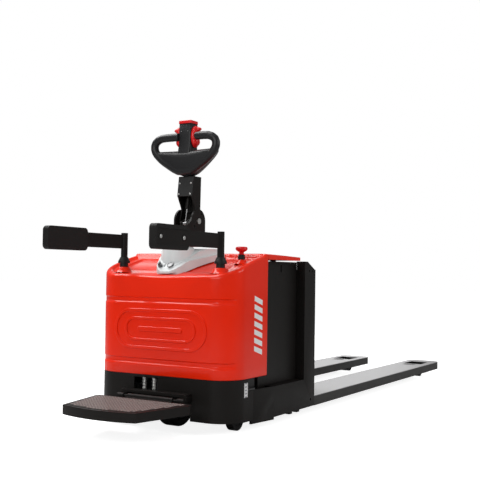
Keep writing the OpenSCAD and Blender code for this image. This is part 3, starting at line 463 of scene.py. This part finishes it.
def tidied(bm, gap=1e-6):
    bmesh.ops.remove_doubles(bm, verts=bm.verts, dist=gap)
    bmesh.ops.recalc_face_normals(bm, faces=bm.faces)
    return bm


def blended(piece, voxel, rounds):
    # welds overlapping closed shapes into one skin with soft joins
    weld = piece.modifiers.new("weld", "REMESH")
    weld.mode, weld.voxel_size, weld.use_smooth_shade = "VOXEL", voxel, True
    soft = piece.modifiers.new("soft", "SMOOTH")
    soft.factor, soft.iterations = 0.5, rounds


def roundedLoop(x0, x1, half, cut, z, steps):
    # level rectangle with round corners, centred across the truck
    corners = ((x1 - cut, half - cut, 0), (x0 + cut, half - cut, 90),
               (x0 + cut, cut - half, 180), (x1 - cut, cut - half, 270))
    points = []
    for x, y, start in corners:
        for k in range(steps + 1):
            a = math.radians(start + 90 * k / steps)
            points.append(Vector((x + cut * math.cos(a), y + cut * math.sin(a), z)))
    return points


# hood: the rim rises to the back, the deck lies lower inside it, and two grooves go round the wall
hoodLow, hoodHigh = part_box("hood_cover")
hoodSet = {
    "corner": 0.112, "cornerStep": 4, "frontSteps": 24, "sideRun": 0.178,
    "sideStations": (0, 0.002, 0.006, 0.012, 0.018, 0.024, 0.030, 0.036, 0.046,
                     0.06, 0.08, 0.10, 0.12, 0.14, 0.16),
    "footLifts": (0, 0.0015, 0.004), "footInsets": (0.003, 0.0009, 0.0), "wall": 0.005,
    "rimFront": 0.634, "rimBack": 0.719, "rimStart": 0.010, "rimEnd": 0.015, "rimBow": 0.4, "rimWidth": 0.036,
    "roll": 0.014, "rollSteps": 7, "rollFoot": 0.004, "drop": 0.012, "dropSteps": 8,
    "dip": 0.006, "dipOver": (0.01, 0.08), "seam": 0.0005, "close": 0.98,
    "ridge": (0.020, 0.012), "deckRise": (0.034, 0.018), "panel": 0.0052, "panelEnd": (0.06, 0.036),
    "panelSteps": ((0.045, 0), (0.066, 0), (0.0675, 0.0012), (0.0700, 0.0042), (0.0722, 0.0052),
                   (0.095, 0.0052)),
}
grooveSet = {"centres": (0.274, 0.527), "tall": 0.027, "deep": 0.0066, "clear": 0.001, "upperRun": 0.004,
             "lowerRun": 0.011, "lowerRings": (7, 0.0018), "upperRings": (4, 0.0015), "upperFoot": 0.0045,
             "floorEnd": 0.005, "start": 28, "startRun": 9}
bossSet = {"arm": (0.034, 0.0285, 0.0165), "stop": (0.021, 0.0165, 0.012), "sunk": 0.006, "steps": 40}


def rimHeight(x):
    start, end = hoodLow.x + hoodSet["rimStart"], hoodHigh.x - hoodSet["rimEnd"]
    t = min(1, max(0, (x - start) / (end - start)))
    bow = hoodSet["rimBow"]
    return hoodSet["rimFront"] + (hoodSet["rimBack"] - hoodSet["rimFront"]) * ((1 + bow) * t - bow * t * t)


def fromBack(distances, x):
    # 0 in front of a step, 1 behind it; its ends are given from the hood's back
    start, end = distances
    return smoothStep(hoodHigh.x - start, hoodHigh.x - end, x)


def crestHeight(x, y):
    start, end = hoodSet["dipOver"]
    inMiddle = 1 - smoothStep(0, hoodHigh.y - hoodSet["corner"], abs(y))
    dip = hoodSet["dip"] * inMiddle * (1 - smoothStep(hoodLow.x + start, hoodLow.x + end, x))
    return rimHeight(x) - dip + (hoodHigh.z - hoodSet["rimBack"]) * fromBack(hoodSet["ridge"], x)


def deckHeight(x):
    floor = rimHeight(x) - hoodSet["drop"]
    return floor + (hoodHigh.z - floor) * fromBack(hoodSet["deckRise"], x)


def panelHeight(x, step):
    return deckHeight(x) - step * (1 - fromBack(hoodSet["panelEnd"], x))


def hoodStations():
    # along the outline: left side, left corner, front, right corner, right side
    sides, step, front = hoodSet["sideStations"], hoodSet["cornerStep"], hoodSet["frontSteps"]
    angles = range(0, 90, step)
    return ([("side", 1, run) for run in sides] + [("corner", 1, a) for a in angles]
            + [("front", 0, k / front) for k in range(front + 1)]
            + [("corner", -1, a) for a in range(90 - step, -1, -step)]
            + [("side", -1, run) for run in reversed(sides)])


def hoodPlace(station, inset):
    kind, sign, along = station
    radius = max(hoodSet["corner"] - inset, 0.0)
    x, y = hoodLow.x + inset + radius, hoodHigh.y - inset - radius
    if kind == "side":
        return hoodHigh.x - along * (hoodHigh.x - x) / hoodSet["sideRun"], sign * (hoodHigh.y - inset)
    if kind == "front":
        return hoodLow.x + inset, y * (1 - 2 * along)
    angle = math.radians(along)
    return x - radius * math.sin(angle), sign * (y + radius * math.cos(angle))


def grooveDepth(station, z):
    # the grooves run across the front and fade out in the corners
    kind, along = station[0], station[2]
    reach = 0.0 if kind == "side" else 1.0
    if kind == "corner":
        reach = smoothStep(grooveSet["start"], grooveSet["start"] + grooveSet["startRun"], along)
    for centre in grooveSet["centres"]:
        top, bottom = centre + grooveSet["tall"] / 2, centre - grooveSet["tall"] / 2
        if bottom < z < top:
            upper = smoothStep(top, top - grooveSet["upperRun"], z) if z > centre else 1.0
            lower = smoothStep(bottom, bottom + grooveSet["lowerRun"], z) if z < centre else 1.0
            return grooveSet["deep"] * upper * lower * reach
    return 0.0


def hoodWallRings(stations):
    clear, (lowerCount, lowerStep), (upperCount, upperStep) = (
        grooveSet[key] for key in ("clear", "lowerRings", "upperRings"))
    rings = [(hoodLow.z + lift, inset) for lift, inset in zip(hoodSet["footLifts"], hoodSet["footInsets"])]
    for centre in grooveSet["centres"]:
        top, bottom = centre + grooveSet["tall"] / 2, centre - grooveSet["tall"] / 2
        heights = [bottom - clear] + [bottom + k * lowerStep for k in range(lowerCount)]
        heights += [centre, top - grooveSet["floorEnd"]]
        heights += [top - grooveSet["upperFoot"] + k * upperStep for k in range(upperCount)] + [top + clear]
        rings += [(z, 0.0) for z in heights]
    return [[Vector((*hoodPlace(t, inset + grooveDepth(t, z)), z)) for t in stations] for z, inset in rings]


def makeHood(s):
    # rings from the foot up the wall, over the rolled edge, down to the deck and in to its middle
    stations = hoodStations()

    def ring(inset, height):
        return [Vector((x, y, height(x, y))) for x, y in (hoodPlace(t, inset) for t in stations)]

    loops = hoodWallRings(stations)
    for k in range(s["rollSteps"] + 1):
        angle = math.radians(90 * k / s["rollSteps"])
        sunk = s["roll"] * (1 - math.sin(angle))
        loops.append(ring(s["roll"] * (1 - math.cos(angle)), lambda x, y: crestHeight(x, y) - sunk))
    rollEnd = s["roll"] + s["rollFoot"]
    for k in range(1, s["dropSteps"] + 1):
        share = k / s["dropSteps"]
        fall = smoothStep(0, 1, share)
        loops.append(ring(rollEnd + (s["rimWidth"] - rollEnd) * share,
                          lambda x, y: crestHeight(x, y) + (deckHeight(x) - crestHeight(x, y)) * fall))
    for inset, step in s["panelSteps"] + ((s["corner"] - s["seam"], s["panel"]),):
        loops.append(ring(inset, lambda x, y: panelHeight(x, step)))
    outline = [(point.x, point.y) for point in loops[-1]]
    for k in range(1, s["dropSteps"] + 1):
        share = k / s["dropSteps"]
        inner = [(x + (hoodHigh.x - x) * share * s["close"], y * (1 - share)) for x, y in outline]
        loops.append([Vector((x, y, panelHeight(x, s["panel"]))) for x, y in inner])
    bm = bmesh.new()
    loft(bm, loops, closed=False)
    hood = keepPiece("hoodSkin", tidied(bm, 1e-5), "hood_cover", sharp=50)
    wall = hood.modifiers.new("wall", "SOLIDIFY")
    wall.thickness, wall.offset = s["wall"], -1


def makeBosses(s):
    # round seats under the side arms' sockets and the stop button
    bm = bmesh.new()
    for node, size in (("arm_socket_left", "arm"), ("arm_socket_right", "arm"), ("e_stop_base", "stop")):
        wide, narrow, tall = s[size]
        middle, top = middleOf(node), s["sunk"] + tall
        profile = ((wide + 0.010, 0), (wide + 0.003, 0.0055), (wide, 0.008), (narrow + 0.001, top - 0.003),
                   (narrow - 0.002, top), (0.0, top))
        addTurned(bm, profile, Vector((middle.x, middle.y, deckHeight(middle.x) - s["sunk"])), s["steps"])
    keepPiece("hoodBosses", tidied(bm, 1e-5), "hood_cover", sharp=60, replace=False)


makeHood(hoodSet)
makeBosses(bossSet)

# plain raised outline on the hood's front: two long rounded frames and a bar
emblemSet = {"centre": 0.408, "frames": ((0.232, 0.084, 0.013), (0.178, 0.050, 0.011)), "bar": (0.112, 0.010),
             "proud": 0.0042, "sunk": 0.003, "round": (0.0012, 0.0014), "steps": 14}


def makeEmblem(s):
    bm = bmesh.new()
    back, face = hoodLow.x + s["sunk"], hoodLow.x - s["proud"]
    fall, edge = s["round"]
    outerRows = ((back, 0), (face + fall, 0), (face, edge))

    def ring(x, wide, tall, inset):
        # upright loop with half-round ends
        loop = []
        for sign in (1, -1):
            for k in range(s["steps"] + 1):
                a = math.pi * k / s["steps"] - math.pi / 2
                y, z = wide - tall + (tall - inset) * math.cos(a), (tall - inset) * math.sin(a)
                loop.append(Vector((x, sign * y, s["centre"] + sign * z)))
        return loop

    for wide, tall, band in s["frames"]:
        rows = outerRows + ((face, band - edge), (face + fall, band), (back, band))
        loft(bm, [ring(x, wide, tall, inset) for x, inset in rows])
    wide, tall = s["bar"]
    loft(bm, [ring(x, wide, tall, inset) for x, inset in outerRows], capEnd=True)
    keepPiece("frontEmblem", tidied(bm), "hood_cover", sharp=35, replace=False)


makeEmblem(emblemSet)
print("hood is made")

# console: narrower and leaning back towards its front end
consoleSet = {"edge": 0.008, "segments": 4, "narrow": 0.026, "shift": 0.006, "lean": 0.030,
              "along": (0.03, 0.16), "across": (0.0, 0.05), "up": (0.03, 0.11)}
collarSet = {"profile": ((0.0715, -0.085), (0.0690, -0.018), (0.0655, -0.009), (0.0600, -0.0045),
                         (0.0520, -0.003), (0.0312, -0.003), (0.0312, -0.020)), "steps": 56}


def makeConsole(s):
    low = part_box("console")[0]
    along, across, up = s["along"], s["across"], s["up"]
    bm = copyOf("console")
    for v in bm.verts:
        near = 1 - smoothStep(low.x + along[0], low.x + along[1], v.co.x)
        v.co.y -= s["narrow"] * near * smoothStep(*across, v.co.y)
        v.co.x += s["shift"] * near + s["lean"] * near * smoothStep(low.z + up[0], low.z + up[1], v.co.z)
    piece = keepPiece("consoleFinished", bm, "console", sharp=30)
    addBevel(piece, s["edge"], s["segments"])


def makeCollar(s):
    # raised seat of the console round the steering column
    bm = bmesh.new()
    centre = Vector((middleOf("turntable").x, 0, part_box("tiller_bracket")[0].z))
    addTurned(bm, s["profile"], centre, s["steps"])
    keepPiece("consoleCollar", tidied(bm), "console", sharp=40, replace=False)


makeConsole(consoleSet)
makeCollar(collarSet)
for name in ("battery_gauge", "key_switch"):
    softened(name, 0.0007, 2)
print("console is made")

# control head: ring handle with a bowl, pod, rockers and belly button; outlines are (y, z) pairs
handleSet = {
    "tube": 0.0177, "sides": 18, "forward": 0.008, "start": {1: 0.030, -1: 0.0560},
    "outline": ((0.060, 1.2275), (0.095, 1.2275), (0.120, 1.2262), (0.139, 1.2200), (0.153, 1.2095),
                (0.1590, 1.1960), (0.1590, 1.1820), (0.1545, 1.1690), (0.1450, 1.1560), (0.1330, 1.1440),
                (0.1190, 1.1320), (0.1040, 1.1210), (0.0860, 1.1100), (0.0680, 1.0990), (0.0510, 1.0890),
                (0.0320, 1.0800), (0.0, 1.0770)),
    "lower": ((0.0, 1.0570), (0.020, 1.0585), (0.040, 1.0655), (0.060, 1.0770), (0.080, 1.0890),
              (0.100, 1.1015), (0.120, 1.1155), (0.136, 1.1285), (0.148, 1.1415), (0.156, 1.1560)),
    "upper": 1.1700, "deep": (0.0460, 0.0225), "deepOver": (0.02, 0.165), "lean": 0.0190, "around": 24,
    "square": (0.75, 0.62), "voxel": 0.0022, "rounds": 12,
}


def rounded(value, power):
    return math.copysign(abs(value) ** power, value)


def makeHandle(s):
    ringX = middleOf("rocker_left").x
    bm = bmesh.new()
    for sign in (1, -1):
        points = ((s["start"][sign], s["outline"][0][1]),) + s["outline"]
        bar = [Vector((ringX - s["forward"], sign * y, z)) for y, z in points]
        tube(bm, bar, s["tube"], s["sides"])
    # bowl: rounded sections across the handle, deeper in the middle
    loops = []
    for y, z in [(-y, z) for y, z in reversed(s["lower"])] + list(s["lower"]):
        share = 1 - smoothStep(*s["deepOver"], abs(y))
        deep = s["deep"][1] + (s["deep"][0] - s["deep"][1]) * share
        centre = ringX + s["lean"] * share
        middle, tall = (s["upper"] + z) / 2, (s["upper"] - z) / 2
        loop = []
        for k in range(s["around"]):
            a = 2 * math.pi * k / s["around"]
            across, up = rounded(math.cos(a), s["square"][0]), rounded(math.sin(a), s["square"][1])
            loop.append(Vector((centre + deep * across, y, middle + tall * up)))
        loops.append(loop)
    loft(bm, loops, capStart=True, capEnd=True)
    bmesh.ops.recalc_face_normals(bm, faces=bm.faces)
    piece = keepPiece("handleSkin", bm, "ring_handle", sharp=180)
    blended(piece, s["voxel"], s["rounds"])


# the pod's sections: height, how far the front and the back stand in, half width; the "top" rows
# give their heights from the head shell's top
podSet = {"corner": 0.006, "steps": 5,
          "lower": ((1.070, -0.004, 0.012, 0.016), (1.085, -0.0115, 0.006, 0.024), (1.110, -0.0135, 0, 0.029),
                    (1.140, -0.0115, 0, 0.031), (1.170, -0.006, 0, 0.0315), (1.195, -0.001, 0, 0.031),
                    (1.230, 0, 0, 0.031)),
          "top": ((-0.004, 0.001, 0, 0.031), (0, 0.004, 0.003, 0.028)),
          "screws": ((0.118, 1.142, 0.0024), (0.017, 1.251, 0.0018)), "screwTall": 0.002,
          "screwOut": (0.0215, 0.0002)}


def makePod(s):
    # an upright block that runs down over the front of the bowl
    low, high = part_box("head_shell")
    sections = s["lower"] + tuple((high.z + row[0],) + row[1:] for row in s["top"])
    bm = bmesh.new()
    loft(bm, [roundedLoop(low.x + front, high.x - back, half, s["corner"], z, s["steps"])
              for z, front, back, half in sections], capStart=True, capEnd=True)
    bmesh.ops.recalc_face_normals(bm, faces=bm.faces)
    keepPiece("podSkin", bm, "head_shell", sharp=50)
    # small screws in the bowl's front and the pod's front
    bm = bmesh.new()
    bowlOut, podOut = s["screwOut"]
    for x, (y, z, size) in zip((middleOf("rocker_left").x - bowlOut, low.x - podOut), s["screws"]):
        for sign in (1, -1):
            place = Matrix.Translation((x, sign * y, z)) @ Matrix.Rotation(math.radians(90), 4, "Y")
            bmesh.ops.create_cone(bm, cap_ends=True, segments=20, radius1=size, radius2=size * 0.8,
                                  depth=s["screwTall"], matrix=place)
    keepPiece("headScrews", bm, "head_shell", material=finishes["zinc"], replace=False)


# each rocker is four balls in one skin: place from its middle and its inner side, then radii
rockerSet = {"height": 1.225, "voxel": 0.0012, "rounds": 5, "segments": (28, 18),
             "balls": ((0.017, 0.006, 0.003, 0.0265, 0.0165, 0.0480),
                       (0.016, 0.009, 0.029, 0.0230, 0.0175, 0.0200),
                       (0.016, 0.009, -0.018, 0.0230, 0.0160, 0.0210),
                       (0.014, 0.022, 0.034, 0.0110, 0.0160, 0.0090))}


def makeRocker(side, sign, s):
    low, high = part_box("rocker_" + side)
    x, inner = (low.x + high.x) / 2, min(abs(low.y), abs(high.y))
    around, upwards = s["segments"]
    bm = bmesh.new()
    for forward, out, up, *radii in s["balls"]:
        made = bmesh.ops.create_uvsphere(bm, u_segments=around, v_segments=upwards, radius=1)
        place = Matrix.Translation((x + forward, sign * (inner + out), s["height"] + up))
        bmesh.ops.transform(bm, matrix=place @ Matrix.Diagonal((*radii, 1)), verts=made["verts"])
    piece = keepPiece("rocker" + side.capitalize(), bm, "rocker_" + side, sharp=180)
    blended(piece, s["voxel"], s["rounds"])


# belly button: rows are (inset, height under the top), from inside the rim to the top
capSet = {"over": 0.0014, "half": 0.0326, "corner": 0.0066, "cornerIn": 0.004, "steps": 6,
          "rows": ((0.0012, -0.0060), (0.0012, -0.0120), (0, -0.0135), (0, -0.0030), (0.0006, -0.0012),
                   (0.0020, -0.0003), (0.0055, 0.0))}


def makeCap(s):
    # a cap whose rim slides over the top of the pod
    low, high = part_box("head_shell")
    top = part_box("belly_button")[1].z
    bm = bmesh.new()
    x0, x1 = low.x - s["over"], high.x + s["over"]
    loft(bm, [roundedLoop(x0 + inset, x1 - inset, s["half"] - inset, s["corner"] - min(inset, s["cornerIn"]),
                          top + z, s["steps"]) for inset, z in s["rows"]], capEnd=True)
    bmesh.ops.recalc_face_normals(bm, faces=bm.faces)
    keepPiece("bellyCap", bm, "belly_button", sharp=50)


makeHandle(handleSet)
makePod(podSet)
makeRocker("left", 1, rockerSet)
makeRocker("right", -1, rockerSet)
makeCap(capSet)
print("control head is made")

# stop button: (radius, height under the top)
stopSet = {"profile": ((0.0, -0.046), (0.0100, -0.046), (0.0100, -0.0240), (0.0125, -0.0215),
                       (0.0190, -0.0185), (0.0232, -0.0150), (0.0250, -0.0105), (0.0250, -0.0065),
                       (0.0236, -0.0030),
                       (0.0200, -0.0010), (0.0110, -0.0002), (0.0, 0.0)), "steps": 48}


def makeStop(s):
    middle, top = middleOf("emergency_stop"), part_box("emergency_stop")[1].z
    bm = bmesh.new()
    addTurned(bm, s["profile"], Vector((middle.x, middle.y, top)), s["steps"])
    keepPiece("stopMushroom", tidied(bm), "emergency_stop", sharp=60)


makeStop(stopSet)

# column, with its top flange trimmed under the bowl, and the plate at its foot
columnSet = {"edge": 0.0014, "segments": 2, "flange": 0.009, "trim": 0.0075}
footSet = {"lean": 7, "back": (0.013, 0.018), "tall": (-0.010, 0.050), "half": 0.0322, "edge": 0.001}


def makeColumn(s):
    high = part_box("tiller_arm")[1]
    plateLow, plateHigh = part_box("arm_cover_plate")
    half = (plateHigh.y - plateLow.y) / 2
    bm = copyOf("tiller_arm")
    for v in bm.verts:
        if v.co.z > high.z - s["flange"]:
            v.co.y = max(-half, min(half, v.co.y))
            v.co.x = min(v.co.x, high.x - s["trim"])
    piece = keepPiece("columnFinished", bm, "tiller_arm", sharp=30)
    addBevel(piece, s["edge"], s["segments"])


def makeColumnFoot(s):
    (x0, x1), (z0, z1) = s["back"], s["tall"]
    turned = Matrix.Translation(middleOf("pivot_pin")) @ Matrix.Rotation(math.radians(s["lean"]), 4, "Y")
    bm = bmesh.new()
    place = turned @ Matrix.Translation(((x0 + x1) / 2, 0, (z0 + z1) / 2))
    addBlock(bm, place, (x1 - x0, 2 * s["half"], z1 - z0))
    bmesh.ops.bevel(bm, geom=bm.edges[:], offset=s["edge"], offset_type="OFFSET", segments=2, profile=0.5,
                    affect="EDGES", material=-1)
    keepPiece("columnFoot", bm, "tiller_arm", sharp=40, replace=False)


makeColumn(columnSet)
makeColumnFoot(footSet)
print("stop button and column are made")

# label on the skirt's side with plain rows, and dark liners that close the gap above the casters
labelSet = {"wide": 0.027, "low": 0.147, "high": 0.2045, "thick": 0.0005, "proud": 0.00005, "inset": 0.004,
            "rows": 75.0, "rowShare": 0.34, "rowHalf": 0.0075, "paper": (0.68, 0.68, 0.68, 1),
            "ink": (0.22, 0.23, 0.26, 1)}
linerSet = {"behind": 0.024, "out": 0.3305, "height": 0.105, "size": (0.080, 0.003, 0.122)}


def labelMaterial(s, centre):
    material, tree, shader, place = startMaterial("paperLabel", Roughness=0.45)
    axes = axesOf(tree, place)
    row = mathNode(tree, "FRACT", mathNode(tree, "MULTIPLY", axes["Z"], s["rows"]))
    offCentre = mathNode(tree, "ABSOLUTE", mathNode(tree, "SUBTRACT", axes["X"], centre))
    inked = mathNode(tree, "MULTIPLY", mathNode(tree, "LESS_THAN", row, s["rowShare"]),
                     mathNode(tree, "LESS_THAN", offCentre, s["rowHalf"]))
    feed(tree, shader["Base Color"], mixColors(tree, s["paper"], s["ink"], inked))
    return material


def makeLabel(s):
    low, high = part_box("chassis_skirt")
    centre = high.x - s["inset"] - s["wide"] / 2
    bm = bmesh.new()
    place = Matrix.Translation((centre, low.y + s["thick"] / 2 - s["proud"], (s["low"] + s["high"]) / 2))
    addBlock(bm, place, (s["wide"], s["thick"], s["high"] - s["low"]))
    keepPiece("sideLabel", bm, "chassis_skirt", material=labelMaterial(s, centre), replace=False)


def makeLiners(s):
    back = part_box("chassis_skirt")[1].x
    bm = bmesh.new()
    for sign in (1, -1):
        addBlock(bm, Matrix.Translation((back + s["behind"], sign * s["out"], s["height"])), s["size"])
    keepPiece("skirtLiner", bm, "chassis_skirt", replace=False)


makeLabel(labelSet)
makeLiners(linerSet)
print("label and liners are made")

springSet = {"wire": 0.0021, "around": 10, "turns": 7, "perTurn": 24, "mean": 0.0082, "seat": 0.0035,
             "plate": (0.0100, 0.003)}


def makeSpring(side, s):
    # a coil between two round end plates
    low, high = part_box("spring_" + side)
    x, y = (low.x + high.x) / 2, (low.y + high.y) / 2
    steps = s["turns"] * s["perTurn"]
    rise = (high.z - low.z - 2 * s["seat"]) / steps
    bm = bmesh.new()
    start = Matrix.Translation((x + s["mean"], y, low.z + s["seat"]))
    start @= Matrix.Rotation(math.radians(90), 4, "X")
    ring = bmesh.ops.create_circle(bm, segments=s["around"], radius=s["wire"], matrix=start)
    edges = list({e for v in ring["verts"] for e in v.link_edges})
    bmesh.ops.spin(bm, geom=edges + ring["verts"], cent=(x, y, 0), axis=(0, 0, 1), dvec=(0, 0, rise),
                   angle=2 * math.pi * s["turns"], steps=steps, use_duplicate=False)
    radius, thick = s["plate"]
    for z in (low.z + thick / 2, high.z - thick / 2):
        bmesh.ops.create_cone(bm, cap_ends=True, segments=32, radius1=radius, radius2=radius, depth=thick,
                              matrix=Matrix.Translation((x, y, z)))
    bmesh.ops.recalc_face_normals(bm, faces=bm.faces)
    keepPiece("spring" + side.capitalize(), bm, "spring_" + side, sharp=45)


makeSpring("left", springSet)
makeSpring("right", springSet)
print("springs are made")

# platform mat: a dark sheet with rows of small four-sided studs; the studs' lighter grey-brown colour is a
# painted highlight for the sheen on their tops
matSet = {"pitch": 0.0150, "foot": 0.00728, "top": 0.0052, "tall": 0.0014, "sunk": 0.0002, "edge": 0.012,
          "bow": 0.52, "taper": 0.0544}


def makeMat(s):
    low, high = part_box("platform_mat")
    sheet = skinMaterial("matSheet", (0.012, 0.0105, 0.010), 0.6, 0.06, 900, 0.10, dusty=0.05, specular=0.15)
    # the studs' light grey-brown base colour is a painted highlight for the sheen on their tops; the dust
    # mixed over it is real dust
    studPaintedHighlight = skinMaterial("matStudsPaintedHighlight", (0.20, 0.160, 0.150), 0.45, 0.06, 900, 0.08, dusty=0.10, specular=0.2)
    softened("platform_mat", 0.0006, 1, material=sheet)
    half, bow, pitch, edge = (high.y - low.y) / 2, s["bow"], s["pitch"], s["edge"]
    turn = Matrix.Rotation(math.radians(45), 4, "Z")
    bm = bmesh.new()
    for i in range(int((high.x - low.x) / pitch) + 1):
        for j in range(int(2 * half / pitch) + 1):
            x, y = low.x + i * pitch, -half + j * pitch
            wide = half - s["taper"] * smoothStep(high.x, low.x, x)
            front = low.x + bow - math.sqrt(bow * bow - min(y * y, bow * bow))
            if x < front + edge or x > high.x - edge or abs(y) > wide - edge:
                continue
            place = Matrix.Translation((x, y, high.z + s["tall"] / 2 - s["sunk"]))
            bmesh.ops.create_cone(bm, cap_ends=True, segments=4, radius1=s["foot"], radius2=s["top"],
                                  depth=s["tall"], matrix=place @ turn)
    keepPiece("matStudsPaintedHighlight", bm, "platform_mat", material=studPaintedHighlight, sharp=20, replace=False)


makeMat(matSet)
print("mat is made")

# the other CAD pieces keep their shape: width and segments of their soft edges
edgeWidths = {
    "chassis_skirt": (0.0020, 2), "chassis_frame": (0.0012, 1), "platform_bracket": (0.0018, 2),
    "lift_cylinder": (0.0012, 2), "tiller_bracket": (0.0015, 2), "arm_cover_plate": (0.0010, 2),
    "side_arm_left": (0.0012, 2), "side_arm_right": (0.0012, 2),
    "arm_pad_left": (0.0045, 4), "arm_pad_right": (0.0045, 4),
    "fork_frame": (0.0022, 2), "side_frame_left": (0.0022, 2), "side_frame_right": (0.0022, 2),
    "side_panel_left": (0.0014, 2), "side_panel_right": (0.0014, 2),
    "battery_pack": (0.003, 2), "battery_lid": (0.0050, 4), "platform_plate": (0.0040, 3),
    "gearbox": (0.003, 2), "drive_tyre": (0.010, 4),
    "load_wheel_left": (0.004, 3), "load_wheel_right": (0.004, 3),
    "caster_wheel_left": (0.006, 4), "caster_wheel_right": (0.006, 4),
    "caster_fork_left": (0.0015, 2), "caster_fork_right": (0.0015, 2),
    "pad_bolts_left": (0.0015, 2), "pad_bolts_right": (0.0015, 2), "cover_screws": (0.0008, 2),
}
for name, (width, segments) in edgeWidths.items():
    softened(name, width, segments)
print("CAD pieces have soft edges")

floorSet = {"size": 60.0, "color": (0.60, 0.60, 0.60, 1), "glow": 0.86}


def makeFloor(s):
    # pale floor that glows for the camera only, so that it meets the white behind it
    bm = bmesh.new()
    bmesh.ops.create_grid(bm, x_segments=1, y_segments=1, size=s["size"] / 2)
    mesh = bpy.data.meshes.new("floor")
    bm.to_mesh(mesh)
    bm.free()
    floor = bpy.data.objects.new("floor", mesh)
    scene.collection.objects.link(floor)
    material, tree, shader = startMaterial(
        "paleFloor", Base_Color=s["color"], Roughness=0.9, Specular_IOR_Level=0.0,
        Emission_Color=(1, 1, 1, 1))[:3]
    path = addNode(tree, "ShaderNodeLightPath")
    glow = mathNode(tree, "MULTIPLY", path.outputs["Is Camera Ray"], s["glow"])
    feed(tree, shader["Emission Strength"], glow)
    mesh.materials.append(material)


makeFloor(floorSet)
